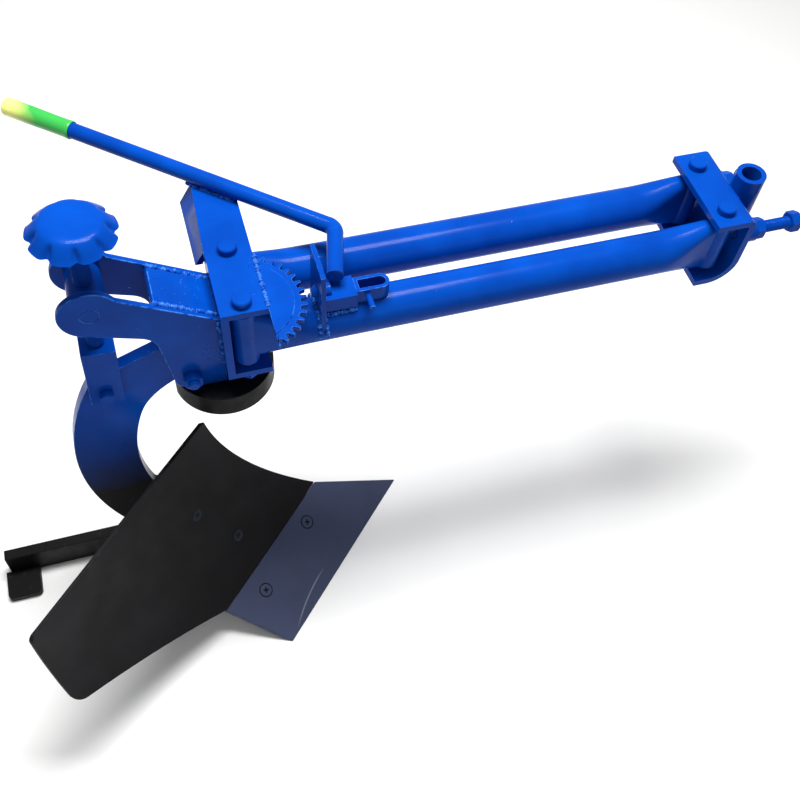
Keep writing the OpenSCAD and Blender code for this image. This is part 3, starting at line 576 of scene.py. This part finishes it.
def spatter_tree():
    """Scatters small drops over patches."""
    tree, given = new_tree("weld spatter", (
        ("Patch", "Geometry"), ("Size", "Float"), ("Density", "Float"), ("Seed", "Int"),
        ("Finish", "Material"),
    ))
    spots = add(tree, "GeometryNodeDistributePointsOnFaces", {
        "Mesh": given["Patch"], "Density": given["Density"], "Seed": given["Seed"],
    })
    drop = add(tree, "GeometryNodeMeshIcoSphere", {"Radius": 0.5, "Subdivisions": 2})
    spread = {"Min": 0.3, "Max": 1.0, "Seed": given["Seed"]}
    uneven = add(tree, "FunctionNodeRandomValue", spread, data_type="FLOAT").outputs["Value"]
    size = add(tree, "ShaderNodeMath", {0: given["Size"], 1: uneven}, operation="MULTIPLY")
    drops = add(tree, "GeometryNodeInstanceOnPoints", {
        "Points": spots.outputs["Points"], "Instance": drop, "Scale": size,
    })
    close_tree(tree, drops, given["Finish"])
    return tree


def bolt_tree():
    """Sets a fastener on every point, turned to the direction that the point carries."""
    tree, given = new_tree("fasteners", (
        ("Points", "Geometry"), ("Fastener", "Object"), ("Finish", "Material"),
    ))
    facing = add(tree, "GeometryNodeInputNamedAttribute", {"Name": "facing"}, data_type="FLOAT_VECTOR")
    turned = add(tree, "FunctionNodeAlignRotationToVector", {"Vector": facing.outputs["Attribute"]}, axis="Z")
    fastener = add(tree, "GeometryNodeObjectInfo", {"Object": given["Fastener"]})
    bolts = add(tree, "GeometryNodeInstanceOnPoints", {
        "Points": given["Points"], "Instance": fastener.outputs["Geometry"], "Rotation": turned,
    })
    close_tree(tree, bolts, given["Finish"])
    return tree


def grow(name, mesh, tree, body, slot, look, **inputs):
    """Runs a tree on a mesh with its inputs set by name, keeps the plain result and puts it on its body."""
    inputs["Finish"] = look
    piece = object_from(name, mesh)
    modifier = piece.modifiers.new(name, "NODES")
    modifier.node_group = tree
    for socket in tree.interface.items_tree:
        if socket.in_out == "INPUT" and socket.name in inputs:
            modifier[socket.identifier] = inputs[socket.name]
    plain_mesh(piece)
    settle(piece, body, slot)


class PLOUGH_OT_plates(bpy.types.Operator):
    """Rounds the edges of the sawn, pressed and cast solids and gives them their finish"""
    bl_idname = "plough.plates"
    bl_label = "Plates and castings"

    NODES = (
        "hitch_channel", "pin_tube", "latch_plate", "latch_bolt", "pull_loop", "rear_channel", "skirt",
        "cheek_right", "cheek_left", "cheek_web", "lever", "trunnion", "yoke", "leg", "landside", "heel",
        "frog", "mouldboard", "share",
    )

    def execute(self, context):
        for node in self.NODES:
            soften(node, sizes().edge_round)
        soften("toothed_sector", sizes().tooth_round)
        return {"FINISHED"}


class PLOUGH_OT_beams(bpy.types.Operator):
    """Makes the two tube beams, pressed flat towards their pivot bushes"""
    bl_idname = "plough.beams"
    bl_label = "Tube beams"

    ROUND = 30
    PRESSED_HALF_WIDTH = 12
    PRESSED_HALF_HEIGHT = 44
    PRESSED_LENGTH = 92
    BUSH_RADIUS = 17
    BUSH_HALF_HEIGHT = 49.5
    FRONT_BUSH_LIFT = 10
    STATIONS = 16
    STEPS = 48

    def section(self, share):
        """Half width and half height of the tube, from round at 0 to pressed at 1."""
        ease = share * share * (3 - 2 * share)
        width = self.ROUND + (self.PRESSED_HALF_WIDTH - self.ROUND) * ease
        height = self.ROUND + (self.PRESSED_HALF_HEIGHT - self.ROUND) * ease
        return width * MM, height * MM

    def ring(self, shape, x, width, height, start):
        """A round-ended section across the beam."""
        straight = height - width
        out = []
        for i in range(self.STEPS):
            a = 2 * math.pi * (i + 0.5) / self.STEPS
            up = math.copysign(straight, math.sin(a)) + width * math.sin(a)
            out.append(shape.verts.new(start + Vector((x, width * math.cos(a), up))))
        return out

    def beam(self, node, start, span):
        """One beam from its rear pivot, with a bush at each end."""
        shape = bmesh.new()
        shares = [k / self.STATIONS for k in range(self.STATIONS + 1)]
        stations = [(self.PRESSED_LENGTH * MM * share, 1 - share) for share in shares]
        stations += [(span - x, share) for x, share in reversed(stations)]
        rings = [self.ring(shape, x, *self.section(share), start) for x, share in stations]
        bridge(shape, rings, closed=True)
        r = self.BUSH_RADIUS * MM
        h = self.BUSH_HALF_HEIGHT * MM
        c = sizes().bolt_chamfer
        for x, lift in ((0, 0), (span, self.FRONT_BUSH_LIFT * MM)):
            foot = lift - h
            profile = ((0, foot), (r - c, foot), (r, foot + c), (r, h - c), (r - c, h), (0, h))
            lathe(shape, profile, Matrix.Translation(start + Vector((x, 0, 0))))
        stand_in(node, "_tube", shape)

    def execute(self, context):
        span = (FRONT_RIGHT - REAR_RIGHT).x
        self.beam("beam_right", REAR_RIGHT, span)
        self.beam("beam_left", REAR_LEFT, span)
        return {"FINISHED"}


class PLOUGH_OT_strap_flange(bpy.types.Operator):
    """Carries the strap's bent-down rear flange on to the lever"""
    bl_idname = "plough.strap_flange"
    bl_label = "Strap flange"

    SECTION = ((-20, 630), (-24, 630), (-42, 599), (-32, 599))
    NEAR = 150
    FAR = 179

    def execute(self, context):
        shape = bmesh.new()
        ends = [[shape.verts.new(at(x, y, z)) for x, z in self.SECTION] for y in (self.NEAR, self.FAR)]
        bridge(shape, ends, closed=True)
        piece = object_from_bmesh("strap_flange_end", shape, "blue_paint")
        settle(piece, "rear_bracket", "blue_paint")
        return {"FINISHED"}


class PLOUGH_OT_pivot_bolts(bpy.types.Operator):
    """Makes the bolts of the four beam pivots, the body's pivot and the yoke"""
    bl_idname = "plough.pivot_bolts"
    bl_label = "Pivot bolts"

    HEAD_RADIUS = 12.5
    HEAD_HEIGHT = 10
    HEAD_UNDERSIDE = 0.93
    BOLT_RADIUS = 8
    NUT_ACROSS = 24
    NUT_HEIGHT = 12.8
    STUB = 5.3
    CROSS_HEAD = 10.4
    YOKE_RADIUS = 6
    YOKE_ACROSS = 18
    YOKE_NUT = 9.6

    def round_head(self, node, spot):
        """A round-headed bolt down through a channel, with its nut below."""
        low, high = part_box(node)
        c = sizes().bolt_chamfer
        r = self.HEAD_RADIUS * MM
        foot, top = low.z, high.z
        seat = top - self.HEAD_HEIGHT * MM
        shape = bmesh.new()
        place = Matrix.Translation((spot.x, spot.y, 0))
        under = r * self.HEAD_UNDERSIDE
        head = ((0, seat), (under, seat), (r, seat + c / 2), (r, top - c), (r - c, top), (0, top))
        lathe(shape, head, place, 40)
        r = self.BOLT_RADIUS * MM
        lathe(shape, ((0, foot), (r - c / 2, foot), (r, foot + c / 2), (r, seat), (0, seat)), place)
        nut = place @ Matrix.Translation((0, 0, foot + self.STUB * MM))
        hexagon(shape, self.NUT_ACROSS * MM, self.NUT_HEIGHT * MM, c, nut)
        stand_in(node, "_bolt", shape)

    def cross_bolt(self, node, spot, radius, across, head, nut, stub):
        """A hexagon bolt across the plough: head on its left, nut and thread end on its right."""
        low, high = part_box(node)
        c = sizes().bolt_chamfer
        shape = bmesh.new()
        turn = Matrix.Translation(Vector((spot.x, high.y, spot.z))) @ axes(-Y_AXIS)
        reach = high.y - low.y
        inside = head / 2
        end = reach if stub else reach - nut / 2
        lathe(shape, ((0, inside), (radius, inside), (radius, end - c), (radius - c, end), (0, end)), turn)
        hexagon(shape, across, head, c, turn)
        hexagon(shape, across, nut, c, turn @ Matrix.Translation((0, 0, reach - nut - stub)))
        stand_in(node, "_bolt", shape)

    def execute(self, context):
        for node, spot in (
            ("front_pivot_right", FRONT_RIGHT), ("front_pivot_left", FRONT_LEFT),
            ("rear_pivot_right", REAR_RIGHT), ("rear_pivot_left", REAR_LEFT),
        ):
            self.round_head(node, spot)
        pivot = (self.BOLT_RADIUS, self.NUT_ACROSS, self.CROSS_HEAD, self.NUT_HEIGHT, self.STUB)
        self.cross_bolt("body_pivot_bolt", BODY_PIVOT, *[size * MM for size in pivot])
        low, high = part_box("yoke_bolt")
        yoke = (self.YOKE_RADIUS, self.YOKE_ACROSS, self.YOKE_NUT, self.YOKE_NUT, 0)
        self.cross_bolt("yoke_bolt", (low + high) / 2, *[size * MM for size in yoke])
        return {"FINISHED"}


class PLOUGH_OT_steady_screws(bpy.types.Operator):
    """Makes the threaded steadying screws of the hitch with their heads and lock nuts"""
    bl_idname = "plough.steady_screws"
    bl_label = "Steadying screws"

    RADIUS = 9
    DEPTH = 1.3
    TIP = 2
    ACROSS = 27
    HEIGHT = 14.4
    WALL = 10
    BOSS = 19.8

    def execute(self, context):
        c = sizes().bolt_chamfer
        for node in ("steady_screw_right", "steady_screw_left"):
            low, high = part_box(node)
            middle = (low + high) / 2
            turn = Matrix.Translation(Vector((low.x, middle.y, middle.z))) @ axes(X_AXIS)
            reach = high.x - low.x
            shape = bmesh.new()
            cut = reach - self.TIP * MM
            thread(shape, self.RADIUS * MM, self.DEPTH * MM, sizes().steady_pitch, cut, turn)
            height = self.HEIGHT * MM
            for level in ((self.WALL + self.BOSS) * MM, reach - height):
                hexagon(shape, self.ACROSS * MM, height, c, turn @ Matrix.Translation((0, 0, level)))
            stand_in(node, "_threaded", shape)
        return {"FINISHED"}


class PLOUGH_OT_depth_screw(bpy.types.Operator):
    """Makes the depth screw's thread"""
    bl_idname = "plough.depth_screw"
    bl_label = "Depth screw"

    ROD = 10
    RADIUS = 12
    DEPTH = 2.4

    def execute(self, context):
        low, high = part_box("depth_screw")
        up = SCREW_UP
        tip = self.ROD * MM * math.sqrt(1 - up.z ** 2)
        bottom = (low.z + tip - TRUNNION.z) / up.z
        top = (high.z - tip - TRUNNION.z) / up.z
        turn = Matrix.Translation(TRUNNION + up * bottom) @ axes(up)
        shape = bmesh.new()
        thread(shape, self.RADIUS * MM, self.DEPTH * MM, sizes().screw_pitch, top - bottom, turn, 32, 8)
        stand_in("depth_screw", "_threaded", shape, 60)
        return {"FINISHED"}


class PLOUGH_OT_hand_wheel(bpy.types.Operator):
    """Makes the pressed hand wheel: a flat-topped cap whose skirt is dented by narrow flutes"""
    bl_idname = "plough.hand_wheel"
    bl_label = "Hand wheel"

    RIM_UP = 101
    RADIUS = 52
    HEIGHT = 19
    THICK = 3
    HUB_RADIUS = 20
    LOBES = 9
    STEPS = 32
    FLUTE_TURN = 0.1
    FLUTE_FROM = 0.7
    FLUTE_FADE = 0.18
    SIDE_INSET = 0.6
    RIM_INSET = 0.7
    HUB_CHAMFER = 2
    PROFILE = (
        (0.0, 1.0), (0.3, 1.0), (0.5, 0.98), (0.6, 0.95), (0.67, 0.89), (0.72, 0.8), (0.76, 0.7),
        (0.81, 0.57), (0.86, 0.42), (0.91, 0.26), (0.96, 0.1), (1.0, 0.0),
    )

    def surface(self, shape, turn, inset):
        """One skin of the cap, set in by a thickness."""
        count = self.LOBES * self.STEPS
        lobe = 2 * math.pi / self.LOBES
        rings = []
        for share, rise in self.PROFILE:
            fade = min(1.0, max(0.0, share - self.FLUTE_FROM) / self.FLUTE_FADE)
            ring = []
            for a in turns(count) if share else [0]:
                away = (a / lobe % 1 - 0.5) * lobe
                dent = math.exp(-((away / self.FLUTE_TURN) ** 2)) * fade
                r = share * self.RADIUS * MM - sizes().wheel_flute * dent - inset * self.SIDE_INSET * share
                z = rise * self.HEIGHT * MM - inset * (1 - self.RIM_INSET * share)
                ring.append(shape.verts.new(turn @ polar(r, a, max(z, 0.0))))
            rings.append(ring)
        bridge(shape, rings)
        return rings[-1]

    def execute(self, context):
        turn = Matrix.Translation(TRUNNION + SCREW_UP * self.RIM_UP * MM) @ axes(SCREW_UP)
        shape = bmesh.new()
        bridge(shape, [self.surface(shape, turn, inset) for inset in (0, self.THICK * MM)])
        r = self.HUB_RADIUS * MM
        c = self.HUB_CHAMFER * MM
        top = (self.HEIGHT - self.THICK / 2) * MM
        lathe(shape, ((0, 0), (r - c, 0), (r, c), (r, top), (0, top)), turn)
        stand_in("hand_wheel", "_pressed", shape, 50)
        return {"FINISHED"}


class PLOUGH_OT_grip(bpy.types.Operator):
    """Makes the dipped plastic grip with its rounded end and thick lip"""
    bl_idname = "plough.grip"
    bl_label = "Dipped grip"

    RADIUS = 13
    ROD_RADIUS = 11.1
    LENGTH = 110
    DOME = 0.42
    DOME_STEPS = 8
    WAIST = ((0.985, 0.4), (0.95, 0.75))
    LIP = ((0.96, 6), (1, 3.5), (0.99, 1), (0.93, 0))
    BORE_LIP = 0.6
    BORE_END = 0.2

    def execute(self, context):
        low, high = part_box("grip")
        back = math.radians(LEVER_TURN)
        along = Vector((math.cos(back), -math.sin(back), 0))
        r = self.RADIUS * MM
        start = Vector((low.x + r * math.sin(back), high.y - r * math.cos(back), (low.z + high.z) / 2))
        turn = Matrix.Translation(start) @ axes(along)
        bends = [math.pi / 2 * k / self.DOME_STEPS for k in range(self.DOME_STEPS + 1)]
        profile = [(r * math.sin(a), r * self.DOME * (1 - math.cos(a))) for a in bends]
        span = self.LENGTH * MM
        profile += [(r * wide, span * far) for wide, far in self.WAIST]
        profile += [(r * wide, span - back * MM) for wide, back in self.LIP]
        bore, end = self.ROD_RADIUS * MM, span * self.BORE_END
        profile += [(bore, span - self.BORE_LIP * MM), (bore, end), (0, end)]
        shape = bmesh.new()
        lathe(shape, profile, turn, 40)
        stand_in("grip", "_dipped", shape, 50)
        return {"FINISHED"}


class PLOUGH_OT_welds(bpy.types.Operator):
    """Lays the weld beads and their spatter"""
    bl_idname = "plough.welds"
    bl_label = "Welds and spatter"

    DENSITY = 6000
    SECTOR_ROOT = 30.6
    SECTOR_ENDS = (-57, 28)
    SECTOR_LEVEL = 635.2
    LEVER_BEND = (141, 40)
    LEVER_SIDE = (-5.2, -6.1)
    LEVER_STOPS = (30, 3, -24)
    LEVER_LEVEL = 635.4
    LATCH_PLATE = (93, 101)
    BEAM_AXIS = (-45, 575)
    BEAM_BEAD = 31
    BLOCK_ENDS = (101, 143)
    BLOCK_SIDES = (-62.2, -27.8)
    BLOCK_LEVEL = 601
    HITCH_FRONT = 711.5
    PIN_TUBE_SIDES = (13, -13)
    PIN_TUBE_ENDS = (557, 622)
    BOSS_AXIS = (48, 590)
    BOSS_BEAD = 17.5
    LEG_ENDS = (-196, 60)
    LEG_SIDES = (-10.5, 10.5)
    LANDSIDE_TOP = 57
    CHEEK_RUN = ((-31, 600), (-31, 517))
    CHEEK_SIDE = 41
    WEB_RUN = ((-33, 605), (-104, 648))
    WEB_SIDE = 31

    def arc(self, middle, radius, degrees, steps):
        """Points of an upright arc across the plough, from its left side on."""
        bends = [math.radians(degrees * k / steps) for k in range(steps + 1)]
        return [middle + Vector((0, math.cos(a), math.sin(a))) * radius * MM for a in bends]

    def wires(self):
        """The run of every bead on each body."""
        slope = math.tan(math.radians(LEVER_TURN))
        bend_x, bend_y = self.LEVER_BEND
        side_x, side_y = self.LEVER_SIDE
        lever = []
        for x in self.LEVER_STOPS:
            y = bend_y + (bend_x - x) * slope
            lever.append(at(x + side_x, y + side_y, self.LEVER_LEVEL))
        plate = [self.arc(at(x, *self.BEAM_AXIS), self.BEAM_BEAD, 180, 24) for x in self.LATCH_PLATE]
        block = [[at(x, y, self.BLOCK_LEVEL) for x in self.BLOCK_ENDS] for y in self.BLOCK_SIDES]
        runs = {
            "rear_bracket": [[at(self.SECTOR_ROOT, y, self.SECTOR_LEVEL) for y in self.SECTOR_ENDS], lever],
            "beam_right": plate + block,
            "hitch": [[at(self.HITCH_FRONT, y, z) for z in self.PIN_TUBE_ENDS] for y in self.PIN_TUBE_SIDES],
            "plough_body": [[at(x, y, self.LANDSIDE_TOP) for x in self.LEG_ENDS] for y in self.LEG_SIDES],
        }
        out, up = self.BOSS_AXIS
        for side in (-1, 1):
            for run, y in ((self.CHEEK_RUN, self.CHEEK_SIDE), (self.WEB_RUN, self.WEB_SIDE)):
                runs["rear_bracket"].append([at(x, side * y, z) for x, z in run])
            runs["hitch"].append(self.arc(at(self.HITCH_FRONT, side * out, up), self.BOSS_BEAD, 360, 36))
        return runs

    def wire_mesh(self, name, runs):
        """A mesh of edges along each run."""
        shape = bmesh.new()
        for run in runs:
            row = [shape.verts.new(spot) for spot in run]
            for a, b in zip(row, row[1:]):
                shape.edges.new((a, b))
        return mesh_from(name, shape)

    def patch_mesh(self, name, patches):
        """A mesh of the four-cornered patches that spatter fell on."""
        mesh = bpy.data.meshes.new(name)
        spots = [tuple(spot) for patch in patches for spot in patch]
        mesh.from_pydata(spots, [], [range(4 * k, 4 * k + 4) for k in range(len(patches))])
        return mesh

    def execute(self, context):
        tree = weld_tree()
        for seed, (body, runs) in enumerate(self.wires().items()):
            slot = "black_paint" if body == "plough_body" else "blue_paint"
            name = body + "_welds"
            grow(name, self.wire_mesh(name, runs), tree, body, slot, finish(slot, True),
                 Width=sizes().weld_width, Ripple=sizes().weld_step, Seed=seed)
        patches = {
            "rear_bracket": [
                [at(-34, -40.1, 600), at(-62, -40.1, 600), at(-62, -40.1, 520), at(-34, -40.1, 520)],
                [at(26, -56, 635.1), at(26, 30, 635.1), at(12, 30, 635.1), at(12, -56, 635.1)],
                [at(-38, -27, 608.4), at(-38, 27, 608.4), at(-100, 27, 646), at(-100, -27, 646)],
            ],
            "beam_right": [
                [at(104, -60, 602.4), at(140, -60, 602.4), at(140, -30, 602.4), at(104, -30, 602.4)],
            ],
        }
        tree = spatter_tree()
        for body, corners in patches.items():
            name = body + "_spatter"
            grow(name, self.patch_mesh(name, corners), tree, body, "blue_paint", finish("blue_paint", True),
                 Size=sizes().spatter_size, Density=self.DENSITY, Seed=sizes().spatter_seed)
        return {"FINISHED"}


class PLOUGH_OT_plough_bolts(bpy.types.Operator):
    """Sets the countersunk plough bolts in share and mouldboard"""
    bl_idname = "plough.plough_bolts"
    bl_label = "Plough bolts"

    SPOTS = {
        "share": ((67.9, -64.2, 45.9), (-26.9, -166.9, 42.8)),
        "mouldboard": ((-109.5, -83.9, 197.1), (-53, -91.6, 112.9)),
    }
    # The heads' share and board bolt lacquers are paler and bluish as painted sheen
    HEAD_FINISH = {"share": "share", "mouldboard": "board_bolt"}
    PROUD = 0.9
    SUNK = 1.5
    # Painted shade: the margin and height of the very dark ring round each head, which stands for the shade in its
    # countersink
    SHADE_RING_MARGIN = 1.8
    SHADE_RING_PROUD = 0.12
    SLOT_LONG = 4.6
    SLOT_WIDE = 1.3
    RIM = 0.9
    SHOULDER = 0.4
    CROSS_FLOOR = 0.1
    # How high the dark fill that stands for the shade in the cross recess reaches, as a share of the head's height
    CROSS_SHADE_FILL = 0.5
    STEPS = 36

    def circle(self, shape, radius, height):
        """A ring of points."""
        return [shape.verts.new(polar(radius, a, height)) for a in turns(self.STEPS)]

    def cross(self, shape, height):
        """The outline of a cross recess."""
        wide, long = self.SLOT_WIDE * MM, self.SLOT_LONG * MM
        spots = []
        for quarter in range(4):
            turn = Matrix.Rotation(quarter * math.pi / 2, 3, "Z")
            spots += [turn @ Vector((x, y, height)) for x, y in ((long, -wide), (long, wide), (wide, wide))]
        return [shape.verts.new(spot) for spot in spots]

    def head(self):
        """A low round head with a cross through its top."""
        shape = bmesh.new()
        r = sizes().board_bolt / 2
        top = self.PROUD * MM
        rim = self.circle(shape, self.RIM * r, top)
        cross = self.cross(shape, top)
        edges = [shape.edges.new((loop[i - 1], loop[i])) for loop in (rim, cross) for i in range(len(loop))]
        bmesh.ops.triangle_fill(shape, use_beauty=True, edges=edges)
        floor = self.cross(shape, self.CROSS_FLOOR * top)
        bridge(shape, [cross, floor])
        shape.faces.new(floor)
        shoulder = self.circle(shape, r, self.SHOULDER * top)
        foot = self.circle(shape, r, -self.SUNK * MM)
        bridge(shape, [rim, shoulder, foot])
        shape.faces.new(foot)
        return object_from_bmesh("plough_bolt_head", shape, "black_steel")

    def seat(self):
        """Painted shade: a very dark ring round a head for the shade in its countersink, and a dark fill in its
        cross for the shade in the recess.
        """
        shape = bmesh.new()
        r = sizes().board_bolt / 2 + self.SHADE_RING_MARGIN * MM
        low, high = -self.SUNK * MM, self.SHADE_RING_PROUD * MM
        lathe(shape, ((0, low), (r, low), (r, high), (0, high)), Matrix())
        cross_shade = [self.cross(shape, share * self.PROUD * MM) for share in (self.CROSS_SHADE_FILL, 0)]
        bridge(shape, cross_shade, closed=True)
        return object_from_bmesh("plough_bolt_seat", shape, "black_paint")

    def points(self, node):
        """The bolts' places on a sheet, each with the direction that the sheet faces there."""
        shape = bmesh.new()
        shape.from_mesh(frame["nodes"][node].data)
        sheet = BVHTree.FromBMesh(shape)
        shape.free()
        found = [sheet.find_nearest(at(*place)) for place in self.SPOTS[node]]
        mesh = bpy.data.meshes.new(node + "_bolts")
        mesh.from_pydata([tuple(spot) for spot, normal, index, distance in found], [], [])
        carried = mesh.attributes.new("facing", "FLOAT_VECTOR", "POINT")
        for entry, (spot, normal, index, distance) in zip(carried.data, found):
            entry.vector = normal
        return mesh

    def execute(self, context):
        tree = bolt_tree()
        # The seat is painted shade: a very dark ring and cross fill standing for the shade in the countersink and
        # the cross recess
        head, seat = self.head(), self.seat()
        for node in self.SPOTS:
            for ending, slot, look, fastener in (
                ("_bolts", SLOT_OF[node], self.HEAD_FINISH[node], head),
                ("_bolt_seats", "black_paint", "black_paint", seat),
            ):
                spots = self.points(node)
                grow(node + ending, spots, tree, "plough_body", slot, finish(look), Fastener=fastener)
        bpy.data.objects.remove(head)
        bpy.data.objects.remove(seat)
        return {"FINISHED"}


class PLOUGH_OT_stage(bpy.types.Operator):
    """Sets the pale floor, the soft studio light and the camera"""
    bl_idname = "plough.stage"
    bl_label = "Studio stage"

    EYE = (-96.5, -840.5, 1600.2)
    RIGHT = (0.9557, -0.2881, 0.0604)
    DOWN = (-0.2065, -0.8033, -0.5584)
    LENS = 45
    SENSOR = 36
    FLOOR_HALF = 14
    FLOOR_GAP = 0.5
    SKY = 0.3
    LIGHTS = (
        ("overhead", (0.1, 0.3, 2.6), (1.3, 0.7), 86, (0.05, 0.1, 0.4)),
        ("right_fill", (0.4, -2.6, 1.5), (1.6, 1.0), 2.5, (0, 0, 0.4)),
    )

    def camera(self):
        """The photo's camera."""
        data = bpy.data.cameras.new("camera")
        data.lens = self.LENS
        data.sensor_width = self.SENSOR
        data.clip_end = 100
        eye = bpy.data.objects.new("camera", data)
        right = Vector(self.RIGHT).normalized()
        up = -Vector(self.DOWN)
        up = (up - right * up.dot(right)).normalized()
        turn = Matrix((right, up, right.cross(up))).transposed().to_4x4()
        eye.matrix_world = Matrix.Translation(at(*self.EYE)) @ turn
        bpy.context.scene.collection.objects.link(eye)
        bpy.context.scene.camera = eye

    def light(self, name, place, size, watts, aim):
        """A soft light at a place, turned to what it aims at, in metres."""
        data = bpy.data.lights.new(name, "AREA")
        data.shape = "RECTANGLE"
        data.size, data.size_y = size
        data.energy = watts
        lamp = bpy.data.objects.new(name, data)
        away = Vector(place) - Vector(aim)
        lamp.matrix_world = Matrix.Translation(Vector(place)) @ axes(away.normalized())
        bpy.context.scene.collection.objects.link(lamp)

    def floor(self):
        """A wide pale floor, a hair below the plough."""
        shape = bmesh.new()
        bmesh.ops.create_grid(shape, x_segments=1, y_segments=1, size=self.FLOOR_HALF)
        mesh = mesh_from("floor", shape)
        material, tree, place = new_material("pale floor")
        shader = add(tree, "ShaderNodeBsdfPrincipled", {
            "Base Color": colours().floor, "Roughness": 0.9, "Specular IOR Level": 0.1,
        })
        add(tree, "ShaderNodeOutputMaterial", {"Surface": shader})
        mesh.materials.append(material)
        ground = object_from("floor", mesh)
        ground.location.z = -self.FLOOR_GAP * MM

    def execute(self, context):
        scene = bpy.context.scene
        scene.view_settings.view_transform = "Standard"
        world = bpy.data.worlds.new("studio")
        world.use_nodes = True
        sky = world.node_tree.nodes["Background"]
        sky.inputs["Color"].default_value = (1, 1, 1, 1)
        sky.inputs["Strength"].default_value = self.SKY
        scene.world = world
        for light in self.LIGHTS:
            self.light(*light)
        self.floor()
        self.camera()
        return {"FINISHED"}


class PLOUGH_PT_panel(bpy.types.Panel):
    """Lists the plough's pieces, sizes and colours"""
    bl_idname = "PLOUGH_PT_panel"
    bl_label = "Mouldboard plough"
    bl_space_type = "VIEW_3D"
    bl_region_type = "UI"
    bl_category = "Plough"

    def draw(self, context):
        for operator in OPERATORS:
            self.layout.operator(operator.bl_idname)
        for group in (context.scene.plough_sizes, context.scene.plough_colours):
            box = self.layout.box()
            for name in group.__annotations__:
                box.prop(group, name)


OPERATORS = (
    PLOUGH_OT_plates,
    PLOUGH_OT_beams,
    PLOUGH_OT_strap_flange,
    PLOUGH_OT_pivot_bolts,
    PLOUGH_OT_steady_screws,
    PLOUGH_OT_depth_screw,
    PLOUGH_OT_hand_wheel,
    PLOUGH_OT_grip,
    PLOUGH_OT_welds,
    PLOUGH_OT_plough_bolts,
    PLOUGH_OT_stage,
)
CLASSES = (PloughSizes, PloughColours) + OPERATORS + (PLOUGH_PT_panel,)


def register():
    for kind in CLASSES:
        bpy.utils.register_class(kind)
    bpy.types.Scene.plough_sizes = PointerProperty(type=PloughSizes)
    bpy.types.Scene.plough_colours = PointerProperty(type=PloughColours)


def unregister():
    del bpy.types.Scene.plough_colours
    del bpy.types.Scene.plough_sizes
    for kind in reversed(CLASSES):
        bpy.utils.unregister_class(kind)


def main():
    register()
    bpy.ops.plough.plates()
    bpy.ops.plough.beams()
    bpy.ops.plough.strap_flange()
    bpy.ops.plough.pivot_bolts()
    bpy.ops.plough.steady_screws()
    bpy.ops.plough.depth_screw()
    bpy.ops.plough.hand_wheel()
    bpy.ops.plough.grip()
    bpy.ops.plough.welds()
    bpy.ops.plough.plough_bolts()
    bpy.ops.plough.stage()


if __name__ == "__main__":
    main()
